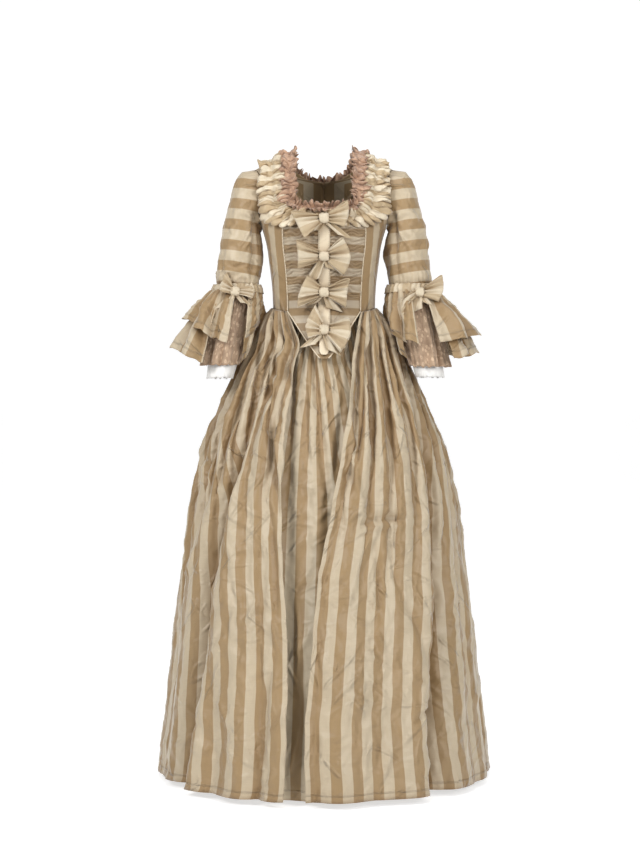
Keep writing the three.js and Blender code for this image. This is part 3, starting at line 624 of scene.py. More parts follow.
def cotton(name):
    """Plain white cotton lawn."""
    n = Nodes(name)
    uv = n.add("ShaderNodeUVMap", output=0)
    threads = n.math("ADD", n.noise(n.scaled(uv, 1500, 60), 1.0), n.noise(n.scaled(uv, 60, 1500), 1.0))
    color = n.blend(n.between(threads, 0.6, 1.4), (0.6, 0.59, 0.57, 1), (0.74, 0.73, 0.71, 1))
    normal = n.bump(threads, 0.0002, 0.6)
    return n.finish(color, normal, 0.75, 0.2)


TAFFETA_CLOTH = taffeta("taffeta")
# hollow is how far the painted shade in the folds reaches, in metres
SKIRT_CLOTH = taffeta("skirt_taffeta", SKIRT_SHADED_TAN, SKIRT_SHADED_CREAM, hem=True, hollow=0.06)
PETTICOAT_CLOTH = taffeta("petticoat_taffeta", hem=True, hollow=0.02)
FLOUNCE_CLOTH = taffeta("flounce_taffeta", hem=True)
BOW_CLOTH = taffeta("bow_taffeta", PALE_TAN, PALE_CREAM, crumpled=0.5)
TRIM_CLOTH = taffeta("trim_taffeta", TRIM_TAN, TRIM_CREAM, crumpled=0.6)
BAND_CLOTH = taffeta("band_taffeta", BAND_CREAM, BAND_CREAM, crumpled=0.4, stitched=True)
# a darker copy of the gown's taffeta: painted shade of the gathers
STOMACHER_CLOTH = taffeta("stomacher_shaded_taffeta", STOMACHER_SHADED_TAN, STOMACHER_SHADED_CREAM)
TULLE = net("tulle", (0.56, 0.365, 0.245, 1), (0.17, 0.095, 0.06, 1), False)
LACE = net("lace", (0.56, 0.41, 0.28, 1), (0.25, 0.165, 0.105, 1), True)
COTTON = cotton("cotton")


# ---------------------------------------------------------------- body form
def shoulder_z(x):
    return read(SHOULDER_LINE, "x", np.abs(x), "z")


def torso(z, behind):
    return read(TORSO, "z", z, "back" if behind else "front")


def body_depth(x, z, behind):
    """Depth of the body in front of (or behind) the side line; nothing at the shoulder seam."""
    half = read(TORSO, "z", z, "half")
    section = (1 - clamp(np.abs(x) / half) ** (2 / FULLNESS)) ** (FULLNESS / 2)
    below = clamp((shoulder_z(x) - z) / SHOULDER_FALL)
    return torso(z, behind) * section * np.sqrt(1 - (1 - below) ** 2)


QUARTER = SHOULDER_FALL * math.pi / 2


def fall_of(way):
    """How far below the shoulder line a place is, by the way down the cloth to it."""
    near = SHOULDER_FALL * (1 - np.cos(np.clip(way, 0, QUARTER) / SHOULDER_FALL))
    return np.where(way > QUARTER, SHOULDER_FALL + way - QUARTER, near)


def way_of(fall):
    near = SHOULDER_FALL * np.arccos(1 - np.clip(fall, 0, SHOULDER_FALL) / SHOULDER_FALL)
    return np.where(fall > SHOULDER_FALL, QUARTER + fall - SHOULDER_FALL, near)


WAY_EXTRA = QUARTER - SHOULDER_FALL


def body_point(angle, way, behind):
    """A point of the body by the angle round it and the way down from the shoulder seam."""
    x, z = 0 * angle, shoulder_z(0) - fall_of(way)
    for _ in range(12):
        x = read(TORSO, "z", z, "half") * power(np.sin(angle), FULLNESS)
        z = shoulder_z(x) - fall_of(way)
    below = clamp(fall_of(way) / SHOULDER_FALL)
    y = torso(z, behind) * power(np.cos(angle), FULLNESS) * np.sqrt(1 - (1 - below) ** 2)
    return np.stack([x, y if behind else -y, z], -1)


def angle_of(x, z):
    share = clamp(np.abs(x) / read(TORSO, "z", z, "half"))
    return np.sign(x) * np.arcsin(share ** (1 / FULLNESS))


def on_body(x, z, behind):
    x, z = np.broadcast_arrays(x, z)
    return np.stack([x, (1 if behind else -1) * body_depth(x, z, behind), z], -1)


def armhole(angle, side):
    """The armhole, by the angle round it from the top; positive is in front."""
    z = ARMHOLE["z"] + ARMHOLE["high"] * np.cos(angle)
    y = ARMHOLE["deep"] * np.sin(angle)
    near, far = 60 + 0 * z, read(TORSO, "z", z, "half")
    for _ in range(40):
        x = (near + far) / 2
        deep = np.where(y < 0, body_depth(x, z, True), body_depth(x, z, False))
        near, far = np.where(deep > np.abs(y), x, near), np.where(deep > np.abs(y), far, x)
    return np.stack([side * near, -y, z], -1)


def waist_z(p):
    """The waist seam's height: it dips in front."""
    round_it = np.degrees(np.arctan2(np.abs(p[..., 0]), -p[..., 1]))
    return WAIST_Z - WAIST_DIP * clamp((80 - round_it) / 30)


# ---------------------------------------------------------------- bodice
PANEL_COLUMNS = 36
PANEL_ROWS = 90
PANEL_EDGE = 0.004  # how far a panel keeps from its seams, as shares of its width and height
CENTRE_BACK = 0.001
PANEL_END = 0.0008

# Creases of the fitted bodice, in x and z as seen from the front: they run from the side seam and
# the armhole towards the stomacher.
BODICE_CREASES = [
    # a0, b0, a1, b1, bow, half width, height
    (118, -300, 92, -312, 2, 5, 1.2),
    (121, -262, 94, -285, -3, 5, 1.0),
    (-120, -290, -90, -305, 2, 5, 1.1),
    (-124, -245, -95, -262, -2, 5, 1.0),
    (132, -205, 104, -235, 3, 6, 1.2),
    (-131, -200, -104, -226, -3, 6, 1.2),
    (140, -165, 112, -180, 3, 6, 1.6),
    (-140, -160, -110, -176, 2, 6, 1.5),
]


def panel_edges(rows, behind):
    """A panel's inner and outer edge at each row, as the angle round the body and the way down."""
    edges = []
    for k, row in enumerate(rows):
        x, z = float(row["x"]), row["z"]
        top = float(shoulder_z(x))
        inner = angle_of(x, top if z is None else z), way_of(0 if z is None else top - z)
        if "side_z" in row:
            half = read(TORSO, "z", row["side_z"], "half")
            outer = math.pi / 2, way_of(shoulder_z(half) - row["side_z"])
        else:
            p = armhole(np.array((-1 if behind else 1) * row["arm"] * RAD), 1)
            angle = math.pi / 2 if row["arm"] == 180 else angle_of(p[0], p[2])
            outer = angle, way_of(shoulder_z(p[0]) - p[2])
        edges.append((k, *inner, *outer))
    return table("k inner_angle inner_way outer_angle outer_way", *edges)


def bodice_panel(name, rows, side, behind):
    edges = panel_edges(rows, behind)
    start = CENTRE_BACK if behind else PANEL_EDGE
    across = steps(PANEL_COLUMNS, start, 1 - PANEL_EDGE)
    u, v = np.meshgrid(across, steps(PANEL_ROWS, PANEL_END, 1 - PANEL_END))
    k = v * (len(rows) - 1)
    pick = {column: np.interp(k, edges["k"], edges[column]) for column in edges}
    angle = mix(pick["inner_angle"], pick["outer_angle"], u)
    points = body_point(angle, mix(pick["inner_way"], pick["outer_way"], u), behind)
    low_way = shoulder_z(points[..., 0]) - mix(waist_z(points), points[..., 2], k) + WAY_EXTRA
    low = body_point(angle, low_way, behind)
    points = np.where((k < 1)[..., None], low, points)
    points[..., 0] *= side
    out = points * (1, 1, 0) + (0, 60 if behind else -60, 60)
    relief = 0.5 * crumple(lengths(points, 1) / MM, points[..., 2], 26, 31 + 7 * side + 3 * behind)
    x, z = points[..., 0], points[..., 2]
    drawn = creases(BODICE_CREASES, x, z) if not behind else creases(BODICE_CREASES, -x, z - 8)
    edge = np.minimum(1, 8 * np.minimum(u, 1 - u)) * np.minimum(1, 14 * np.minimum(v, 1 - v))
    points = points + normals(points, False, out) * ((relief + drawn) * edge)[..., None]
    uv = pair(lengths(points, 1) + STRIPE / 2, lengths(points, 0))
    cloth(name, points, uv, out, TAFFETA_CLOTH)


# ---------------------------------------------------------------- skirts
def skirt_radii(angle, z):
    """Half the skirt's width, and its depth on that side of the side seam."""
    front, back = read(SKIRT, "z", z, "front"), read(SKIRT, "z", z, "back")
    return read(SKIRT, "z", z, "half"), np.where(np.cos(angle) > 0, front, back)


def skirt_form(angle, z):
    """The smooth skirt, by the angle from the front towards the wearer's left."""
    half, depth = skirt_radii(angle, np.minimum(z, SKIRT["z"][0]))
    return np.stack([half * np.sin(angle), -depth * np.cos(angle), z + 0 * angle], -1)


def skirt_out(angle, z):
    half, depth = skirt_radii(angle, z)
    way = np.stack([np.sin(angle) / half, -np.cos(angle) / depth, 0 * angle], -1)
    return way / np.linalg.norm(way, axis=-1, keepdims=True)


def down_share(z):
    """0 at the waist and 1 at the hem."""
    return clamp((WAIST_Z - z) / (WAIST_Z - HEM_Z))


# The robe's main creases as seen from the front, in x and z: the long folds that fall from the waist,
# the crease across the wearer's left panel, and short breaks all the way down.
ROBE_CREASES = [
    # a0, b0, a1, b1, bow, half width, height
    (104, -430, 52, -800, 6, 12, -10),
    (-129, -420, -101, -840, -8, 12, -10),
    (-118, -420, -86, -840, -8, 10, 6),
    (-150, -400, -176, -640, 6, 10, -8),
    (146, -400, 180, -600, -6, 10, -8),
    (170, -760, 172, -960, -10, 10, -7),
    (62, -858, 188, -838, 12, 15, -7),
    (70, -868, 180, -852, 10, 9, 6),
    (130, -820, 196, -836, -6, 10, -5),
    (150, -850, 176, -1010, -9, 13, -6),
    (176, -1010, 236, -1160, 8, 14, -6),
    (112, -880, 118, -1080, 8, 13, -6),
    (118, -1080, 132, -1130, 0, 9, 6),
    (96, -1000, 128, -1060, 4, 9, 5),
    (84, -1120, 150, -1150, -6, 9, 5),
    (180, -1180, 230, -1210, 5, 9, 5),
    (60, -1210, 110, -1240, -4, 9, 4),
    (200, -1290, 250, -1260, 5, 10, -5),
    (150, -1330, 120, -1400, 6, 9, 5),
    (250, -700, 262, -900, 10, 12, 7),
    (60, -480, 90, -830, -14, 12, 8),
    (118, -400, 150, -760, 12, 11, -9),
    (92, -385, 108, -700, 8, 10, -9),
    (176, -520, 210, -800, 10, 12, -7),
    (-84, -480, -100, -800, 10, 12, -9),
    (-120, -400, -136, -800, 14, 11, -9),
    (-100, -395, -118, -560, 6, 9, 8),
    (-160, -440, -210, -760, -14, 13, -9),
    (-190, -520, -262, -860, -16, 13, 8),
    (-128, -800, -112, -1080, 9, 13, -7),
    (-112, -1050, -96, -1130, -6, 10, 7),
    (-150, -1010, -190, -1080, 6, 10, 6),
    (-105, -1120, -128, -1320, -12, 13, -7),
    (-88, -1240, -120, -1300, 8, 10, 6),
    (-215, -1100, -260, -1150, -5, 9, 5),
    (-240, -1240, -215, -1300, 4, 9, 5),
    (-180, -1330, -150, -1380, 5, 9, 5),
    (-300, -900, -340, -1000, 6, 10, 5),
    (-250, -620, -290, -840, 10, 12, -7),
]

# The back isn't shown. It takes the steep creases of the front, mirrored.
BACK_CREASES = [row for row in ROBE_CREASES if row[1] - row[3] > 40]

BROAD_FOLDS = 14


def broad_turns(c, z):
    """The broad folds' turns: uneven in width, and swaying a little as they fall."""
    wander = 0.35 * np.sin(TAU * 3 * c + 0.8) + 0.25 * np.sin(TAU * 5 * c)
    return BROAD_FOLDS * c + wander + 0.14 * noise(3 * c, z / 300, 8)


def beside(fold, c, z):
    """How far round the cloth a place is from a deep fold."""
    return c - np.interp(-z, [-high for high in FOLD_HEIGHTS], fold["at"])


def robe_relief(c, z):
    """How far the robe's cloth stands out of the smooth form."""
    down = down_share(z)
    each = 0.5 + 0.5 * noise(c * PLEATS * 0.9, 0 * c, 5)
    grown = mix(4.2, 10.5, rise(0, 0.07, down)) * (0.7 + 0.6 * each)
    pleat = grown * (1 - rise(0.1 + 0.22 * each, 0.46 + 0.42 * each, down))
    lean = 0.5 * np.sign(c - 0.5) * np.sin(TAU * PLEATS * c) / TAU
    out = pleat * (0.35 + groove(PLEATS * c + lean + 0.1 * noise(9 * c, z / 120, 11) * down, 0.7))
    uneven = 0.65 + 0.5 * noise(9 * c, z / 400, 14)
    out += 10 * rise(0.06, 0.75, down) * uneven * groove(broad_turns(c, z), 0.9) + 1
    for fold in DEEP_FOLDS:
        off = beside(fold, c, z)
        off = off / np.where(off < 0, fold["before"], fold["after"]) - 0.2 * noise(0 * z, z / 300, 21)
        grown = rise(fold["from"], HEM_Z, z) ** 0.5
        floor_way = np.where(off * fold["lap"] > 0, 1.8, 1.5)
        out -= fold["deep"] * grown * np.exp(-np.abs(off) ** floor_way)
        lip = (beside(fold, c, z) + 0.024 * np.sign(fold["lap"])) / 0.013
        out += 0.4 * abs(fold["lap"]) * grown * bell(lip)
    return out


def robe_points(c, z):
    """The robe's skirt. c runs round it from one front edge to the other."""
    half = read(SKIRT, "z", np.minimum(z, SKIRT["z"][0]), "half")
    ripple = 2.4 * rise(-380, -460, z) * noise(z / 62, 0 * z, 23)
    right = np.arcsin((read(OPENING, "z", z, "right") + ripple) / half)
    left = TAU - np.arcsin((read(OPENING, "z", z, "left") - ripple) / half)
    lap = 0 * c
    for fold in DEEP_FOLDS:
        shift = 1.2 * np.sign(fold["lap"])
        reach = beside(fold, c, z) / 0.016 + shift
        lap += fold["lap"] * rise(fold["from"], -1000, z) * bell(reach)
    angle = mix(right, left, c) + lap / half
    return skirt_form(angle, z) + skirt_out(angle, z) * robe_relief(c, z)[..., None]


def hidden_cloth(c, z):
    """Where the cloth that the pleats and folds take up lies, as a share run from 0 to 1."""
    pleats = c - np.sin(TAU * PLEATS * c) / (TAU * PLEATS)
    turns = broad_turns(c, z)
    grooves = turns - np.sin(TAU * turns) / TAU
    grooves = (grooves - grooves[:, :1]) / (grooves[:, -1:] - grooves[:, :1])
    folds = 0.2 * c + 0.3 * grooves
    for fold in DEEP_FOLDS:
        folds = folds + 0.1 * ease(beside(fold, c, z) / 0.014 + 0.5)
    return mix(pleats, folds, rise(-430, -860, z))


ROBE_FRONT_COLUMNS = 176
ROBE_BACK_COLUMNS = 96
ROBE_ROWS = 140
SEAM_SHARE = 0.1  # of a column that each panel is short of its seam
ROBE_NAMES = ["robe_front_left", "robe_back_left", "robe_back_right", "robe_front_right"]


def robe_skirt():
    """The robe's skirt, worked out in one and parted at its seams."""
    counts = [ROBE_FRONT_COLUMNS, ROBE_BACK_COLUMNS, ROBE_BACK_COLUMNS, ROBE_FRONT_COLUMNS]
    line = np.concatenate([steps(n, k / 4, (k + 1) / 4)[:-1] for k, n in enumerate(counts)] + [[1]])
    c, v = np.meshgrid(line, steps(ROBE_ROWS) ** 1.1)
    high = waist_z(robe_points(c, WAIST_Z + 0 * c)) - 4 * SEAM
    z = mix(high, HEM_Z, v)
    points = robe_points(c, z)
    width = lengths(points, 1)
    spare = np.maximum(0, ROBE_WIDTH - width[:, -1:])
    uv = pair(width + spare * hidden_cloth(c, z), (z - HEM_Z) * MM)
    out = points * (1, 1, 0)
    x, u = points[..., 0], uv[..., 0] / MM
    in_front = points[..., 1] < 0
    drawn = np.where(in_front, creases(ROBE_CREASES, x, z), creases(BACK_CREASES, -x, z))
    fade = rise(0, 0.1, down_share(z))
    rumple = 5.0 * crumple(u, z, 66, 41, 1.8) + 2.5 * crumple(u, z, 29, 51, 1.1)
    points = points + normals(points, False, out) * (fade * (1.5 * drawn + rumple))[..., None]
    start = 0
    for name, count in zip(ROBE_NAMES, counts):
        part = slice(start, start + count + 1)
        start += count
        panel = points[:, part].copy()
        panel[:, 0] = mix(panel[:, 0], panel[:, 1], SEAM_SHARE)
        panel[:, -1] = mix(panel[:, -1], panel[:, -2], SEAM_SHARE)
        cloth(name, panel, uv[:, part], out[:, part], SKIRT_CLOTH)


PETTICOAT_IN = table(
    "z inside",
    (-343, 5.8),
    (-362, 13),
    (-420, 18),
    (-700, 30),
    (-1000, 44),
    (-1460, 48),
)
FAN_X, FAN_Z = -62, -125  # the petticoat's stripes fan out from here as far down as FAN_END
FAN_END = -810
PETTICOAT_FANS = [
    # folds that fan from the waist: place across at the fan's end, half width, and height
    (-34, 13, -9),
    (-8, 16, 5),
    (40, 18, 6),
    (72, 12, -9),
    (96, 14, 6),
    (-70, 16, 5),
]
PETTICOAT_TOP = -343.5
HALF_WIDTH = 0.498  # of a petticoat width, just short of its seam
DENT_ANGLE = 0.86  # each side of the front, where the petticoat falls in under the robe
PETTICOAT_NAMES = ["petticoat_front", "petticoat_left", "petticoat_back", "petticoat_right"]
PETTICOAT_CREASES = [
    # a0, b0, a1, b1, bow, half width, height
    (-40, -760, 20, -800, 6, 12, 5),
    (10, -860, -60, -900, -6, 10, 5),
    (-20, -940, -70, -1010, 5, 10, -5),
    (-66, -1000, -60, -1200, 8, 12, 7),
    (-30, -1080, -64, -1140, 4, 9, 5),
    (-44, -1200, -30, -1400, -6, 10, -6),
    (-62, -1300, -80, -1400, 6, 9, 6),
    (40, -560, 20, -760, 6, 14, -6),
    (-40, -520, -30, -740, -8, 14, -6),
]


def petticoat_points(angle, z):
    down = down_share(z)
    front = ease(np.cos(angle) * 2 - 0.9)
    inside = read(PETTICOAT_IN, "z", z, "inside") * mix(1, 0.7, front * rise(-700, -1000, z))
    turns = 10 * angle + 0.9 * np.sin(3 * angle) + 0.9 * noise(2 * angle, z / 300, 61)
    folds = mix(0.6, 8, rise(0.05, 0.8, down)) * np.cos(turns)
    from_front = np.abs((angle + 3 * math.pi) % TAU - math.pi)
    dent = 52 * rise(-540, -1200, z) * bell((from_front - DENT_ANGLE) / 0.2)
    gathers = 2.2 * rise(-352, -380, z) * (1 - rise(-400, -640, z)) * groove(12 * angle, 0.8)
    x, _, high = np.moveaxis(skirt_form(angle, z), -1, 0)
    fan = (x - FAN_X) * np.maximum(1, (FAN_Z - FAN_END) / (FAN_Z - high))
    fans = sum(tall * bell((fan - at) / wide) for at, wide, tall in PETTICOAT_FANS)
    fans = fans * (np.cos(angle) > 0) * rise(-345, -430, z) * (1 - 0.75 * rise(-640, -1100, z))
    hollow = 8 * front * rise(-600, -950, z) * rise(-1400, -1100, z)
    relief = folds + gathers + fans - inside - dent - hollow
    return skirt_form(angle, z) + skirt_out(angle, z) * relief[..., None]


def petticoat():
    """The petticoat's four widths. The front one's stripes fan out from the waist."""
    for k, name in enumerate(PETTICOAT_NAMES):
        columns, rows = (120, 120) if k == 0 else (60, 60)
        turn, v = np.meshgrid(steps(columns, k - HALF_WIDTH, k + HALF_WIDTH) / 4, steps(rows))
        z = mix(PETTICOAT_TOP, HEM_Z - 5, v)
        points = petticoat_points(TAU * turn, z)
        out = points * (1, 1, 0)
        width = lengths(points, 1)
        middle = width[:, columns // 2, None]
        spare = np.maximum(0, PETTICOAT_WIDTH / 4 - width[:, -1:])
        share = 4 * turn - k
        spread = share - np.sin(TAU * 4 * share) / (TAU * 4)
        across = width - middle + 0.55 * spare * spread
        if k == 0:
            fan_at = np.argmin(np.abs(points[-1, :, 0] - FAN_X))
            fanned = np.maximum(1, (FAN_Z - FAN_END) / (FAN_Z - z))
            across = (width - width[:, fan_at, None]) * fanned
        uv = pair(across + k * PETTICOAT_WIDTH / 4 + STRIPE, (z - HEM_Z) * MM)
        u = uv[..., 0] / MM
        rumple = 3.4 * crumple(u, z, 60, 71 + k, 1.8) + 2.0 * crumple(u, z, 26, 81 + k, 1.0)
        drawn = 1.4 * creases(PETTICOAT_CREASES, points[..., 0], z)
        fade = rise(-350, -420, z)
        points = points + normals(points, False, out) * (fade * (rumple + drawn))[..., None]
        cloth(name, points, uv, out, PETTICOAT_CLOTH)


# ---------------------------------------------------------------- stomacher
GATHER_TOP, GATHER_LOW, GATHERS = -150, -322, 19
GATHERED = 50 / 37  # flat length of the stomacher for each length of it made up
STOMACHER_TOP = -102
BAND_TOP = -128


def stomacher_edge(z):
    waist_x, waist_at = FRONT_ROWS[0]["x"], FRONT_ROWS[0]["z"]
    low = mix(9, waist_x - 1.5, clamp((z - POINT_Z) / (waist_at - POINT_Z)) ** 0.9)
    edge = table("x z", *((row["x"], row["z"]) for row in FRONT_ROWS[:7]))
    return np.where(z < waist_at, low, read(edge, "z", z, "x") - 1.4)


def front_surface(x, z, lift):
    """The gown's front at x, z, with the skirt's front below the waist."""
    x, z = np.broadcast_arrays(np.asarray(x, float), np.asarray(z, float))
    below = rise(-318, -372, z)
    body = on_body(x, np.maximum(z, -345), False)
    low = np.minimum(z, SKIRT["z"][0])
    skirt = skirt_form(np.arcsin(clamp(x / read(SKIRT, "z", low, "half"), -1, 1)), low)
    return np.stack([x, mix(body[..., 1], skirt[..., 1] - 11, below) - lift, z], -1)


def gather_lift(x, z, side):
    """How far the stomacher's crosswise gathers stand out."""
    shown = rise(GATHER_TOP + 8, GATHER_TOP - 8, z) * rise(GATHER_LOW - 6, GATHER_LOW + 6, z)
    along = (z - GATHER_LOW) / (GATHER_TOP - GATHER_LOW) * GATHERS
    sway = 0.9 * noise(x / 26 + 7 * side, along / 3.4, 91) + 0.3 * noise(x / 11, along / 1.5, 92 + side)
    tall = 2.4 + 1.6 * noise(x / 18, along / 1.6, 94 + side)
    return shown * (2.0 + tall * groove(along + sway, 0.75))


def stomacher_half(name, side):
    u, v = np.meshgrid(steps(30), steps(240))
    z = mix(POINT_Z, STOMACHER_TOP, v)
    outer = np.minimum(stomacher_edge(z), np.where(z > -100, 60, 999))
    x = side * mix(SEAM, outer, u)
    basque = 1.2 * crumple(x, z, 22, 95 + side) * rise(-345, -360, z)
    points = front_surface(x, z, 0.4 + gather_lift(x, z, side) + basque)
    uv = pair(z * MM * GATHERED + 0.006, side * x * MM)
    cloth(name, points, uv, FORWARDS, STOMACHER_CLOTH)


def centre_band():
    """The plain band down the stomacher that the bows are tied on."""
    v, u = np.meshgrid(steps(120), steps(10), indexing="ij")
    z = mix(POINT_Z + 9, BAND_TOP, v)
    half = BAND_HALF * mix(0.8, 1, rise(-440, -380, z)) * np.sqrt(clamp((z - POINT_Z - 6) / 12))
    x = mix(-half, half, u)
    pucker = 0.5 * crumple(x, z, 12, 101, 1.0)
    points = front_surface(x, z, 6.0 - 1.2 * np.abs(2 * u - 1) ** 3 + pucker)
    uv = pair(x * MM * 0.8, z * MM)
    cloth("centre_band", points, uv, FORWARDS, BAND_CLOTH)


def tube(name, line, radius, material, sides=8):
    """A piping: a round tube on a line of points, with closed ends."""
    way = np.gradient(line, axis=0)
    way /= np.linalg.norm(way, axis=1, keepdims=True)
    across = np.cross(way, (0, 0, 1) if abs(way[0, 2]) < 0.9 else (0, 1, 0))
    across /= np.linalg.norm(across, axis=1, keepdims=True)
    up = np.cross(across, way)
    turn = np.arange(sides) / sides * TAU
    spokes = across[:, None] * np.cos(turn)[:, None] + up[:, None] * np.sin(turn)[:, None]
    points = line[:, None] + radius * spokes
    rows = len(line)
    faces = [(j * sides + i, j * sides + (i + 1) % sides, (j + 1) * sides + (i + 1) % sides,
              (j + 1) * sides + i) for j in range(rows - 1) for i in range(sides)]
    faces += [tuple(range(sides))[::-1], tuple((rows - 1) * sides + i for i in range(sides))]
    along = np.repeat(lengths(line[:, None], 0).ravel(), sides)
    corners = [v for face in faces for v in face]
    smooth = np.ones(len(faces), bool)
    corner_uv = np.stack([0 * along, along], 1)[corners]
    places = (points.reshape(-1, 3) * MM).tolist()
    return made_mesh(name, places, faces, smooth, material, corner_uv)


def pipings():
    """Cream piping down the stomacher's seams, and round its point."""
    for label, side in SIDES:
        z = np.linspace(-112, -352, 60)
        x = side * (stomacher_edge(z) + 0.2)
        lift = 2.2 + 0.3 * noise(z / 14, 0 * z, 105)
        line = front_surface(x, z, lift)
        place(tube(f"seam_piping_{label}", line, 1.5, BAND_CLOTH))
        z = np.linspace(-354, POINT_Z + 1, 50)
        x = side * (stomacher_edge(z) + 0.3)
        line = front_surface(x, z, 1.6)
        place(tube(f"point_piping_{label}", line, 1.4, BAND_CLOTH))


# ---------------------------------------------------------------- sleeves
def sleeve_section(k, turn, side):
    """The sleeve's section at row k of its table. turn runs from the outer side towards the front."""
    row = {c: read(SLEEVE, "k", k, c) for c in SLEEVE}
    share = (1 - np.cos(turn)) / 2
    return np.stack([side * mix(row["out_x"], row["in_x"], share),
                     -row["fore"] - row["deep"] * np.sin(turn),
                     mix(row["out_z"], row["in_z"], share)], -1)


SLEEVE_WAY = (34 / 211, -208 / 211)  # the upper arm's line, sideways and up
SLEEVE_CREASES = {
    # round the arm from its outer side and down it: long troughs inside the arm, short ones above
    # the elbow. Then bow, half width and height
    -1: [
        (112, 70, 122, 264, -5, 15, -10),
        (150, 40, 142, 190, 4, 13, -7),
        (132, 150, 84, 206, 5, 8, 4.5),
        (112, 218, 52, 238, -4, 8, -4.5),
        (70, 120, 30, 168, 5, 10, -4),
        (96, 60, 70, 110, 4, 9, 4),
        (250, 120, 300, 170, 5, 10, -5),
        (220, 200, 290, 240, -5, 9, 5),
    ],
    1: [
        (118, 60, 124, 258, 5, 15, -11),
        (146, 30, 150, 200, -4, 13, -7),
        (90, 176, 86, 258, 3, 8, -5),
        (128, 130, 92, 166, 4, 8, 4.5),
        (76, 200, 30, 232, -5, 9, 4.5),
        (60, 90, 24, 130, 5, 10, -4),
        (240, 100, 300, 150, 5, 10, -5),
        (230, 190, 300, 236, -5, 9, 5),
    ],
}


def sleeve(name, side):
    """The sleeve down to the elbow. Where v is under 0 it blends out of the armhole's edge."""
    turns, rows = 110, 100
    turn, v = np.meshgrid(np.arange(turns) / turns * TAU, steps(rows, -0.166, 1))
    points = sleeve_section(1 + np.maximum(v, 0) * 6, turn, side)
    edge = armhole(turn, side) + np.array((side * 1.6, 0, 0))
    head = clamp(1 + v * 6)[..., None]
    points = np.where((v < 0)[..., None], edge + (points - edge) * head, points)
    middle = (points + np.roll(points, turns // 2, 1)) / 2
    out = points - middle
    down = (np.abs(points[..., 0]) - 175) * SLEEVE_WAY[0] + (points[..., 2] + 14) * SLEEVE_WAY[1]
    cap = 1 - rise(10, 95, down)
    gathers = 1.5 * cap * groove(turn / TAU * 34 + 0.35 * noise(turn * 3, down / 40, 111), 0.9)
    gathers *= 0.3 + 0.7 * clamp(np.cos(turn))
    low = rise(235, 270, down)
    gathers = gathers + 1.7 * low * groove(turn / TAU * 30 + 0.4 * noise(turn * 3, down / 30, 112), 0.8)
    wrinkles = 4.0 * crumple(turn * ARM_ROUND, down, 50, 115 + side, 0.8) * (0.35 + rise(60, 200, down))
    fine = 1.5 * crumple(turn * ARM_ROUND, down, 21, 118 + side, 1.4)
    drawn = creases(SLEEVE_CREASES[side], turn * ARM_ROUND, down)
    hold = rise(-12, 14, down) * (1 - 0.6 * rise(268, 286, down))
    relief = (gathers + wrinkles + fine + drawn) * hold - 1.2 * rise(262, 284, down)
    points = points + normals(points, True, out) * relief[..., None]
    across = ring(turn, TAU) * ARM_ROUND * MM
    stripes = ring(down) * MM + 0.0415
    cloth(name, points, pair(stripes, across), out, TAFFETA_CLOTH,
          closed=True)


def layer_points(kind, turn, v, side):
    """One layer below the elbow. turn runs round from the outer side towards the front."""
    shape = LAYERS[kind]
    outer, front, inner, back = HEMS[kind, side]
    cos, sin = np.cos(turn), np.sin(turn)

    def around(k):
        sides = np.where(cos > 0, outer[k], inner[k])
        return sides * cos**2 + np.where(sin > 0, front[k], back[k]) * sin**2

    z = mix(ELBOW["z"], around(0), v)
    waves = shape["waves"]
    wander = TAU * 0.15 * np.sin(2 * turn)
    wave = np.cos(waves * turn + wander)
    wave = 2.4 * (0.5 + 0.5 * wave) ** 0.7 - 1.5 - 0.7 * cos
    wave = wave + 0.5 * np.cos(2.3 * waves * turn + 2 * wander + side) * v
    swing = shape["swing"] * v * (0.6 + 0.4 * cos) * wave
    bulge = 7 * np.sin(math.pi * clamp(v)) if shape["gap"] else 0
    reach = mix(shape["top"], around(1), np.sign(v) * np.abs(v) ** 1.1) + swing + bulge
    drop = ELBOW["z"] - z
    x = ELBOW["x"] + ELBOW["outwards"] * drop + reach * cos
    return np.stack([side * x, ELBOW["y"] - ELBOW["forwards"] * drop - reach * sin, z], -1)


FOLD_HEIGHT = 1.3  # a flounce's folds stand out this many times the heights below
# turn from the outer side and half width, in degrees, and height
BACK_FOLDS = ((200, 9, 8), (222, 8, -9), (245, 10, 8), (270, 8, -9), (296, 10, 9), (318, 8, -8),
              (340, 9, 8))
FLOUNCE_FOLDS = {
    ("upper_flounce", -1): ((10, 8, 3), (26, 7, -12), (44, 10, 9), (62, 7, -11), (80, 9, 8),
                            (132, 9, 7)),
    ("upper_flounce", 1): ((8, 8, 3), (24, 7, -12), (42, 9, 9), (57, 6, -7), (106, 8, 8),
                           (121, 7, -9), (138, 9, 7)),
    ("lower_flounce", -1): ((2, 8, 3), (18, 7, -13), (36, 8, 8), (50, 6, -8), (140, 9, 6),
                            (160, 8, -8)),
    ("lower_flounce", 1): ((5, 8, 3), (22, 8, -13), (40, 7, 7), (142, 9, 6), (162, 8, -8)),
}
LAYER_LOOKS = {
    # columns, rows, flat width round, gathers at the top and their depth, crumple depth
    "under_ruffle": (100, 16, 0.31, 26, 0.8, 1.0),
    "lace_flounce": (200, 36, 0.46, 34, 1.2, 2.4),
    "lower_flounce": (180, 40, 0.64, 30, 1.4, 4.8),
    "upper_flounce": (180, 36, 0.6, 24, 3.2, 5.2),
}
LAYER_CLOTHS = {"under_ruffle": (COTTON, "white_cotton"), "lace_flounce": (LACE, "lace")}


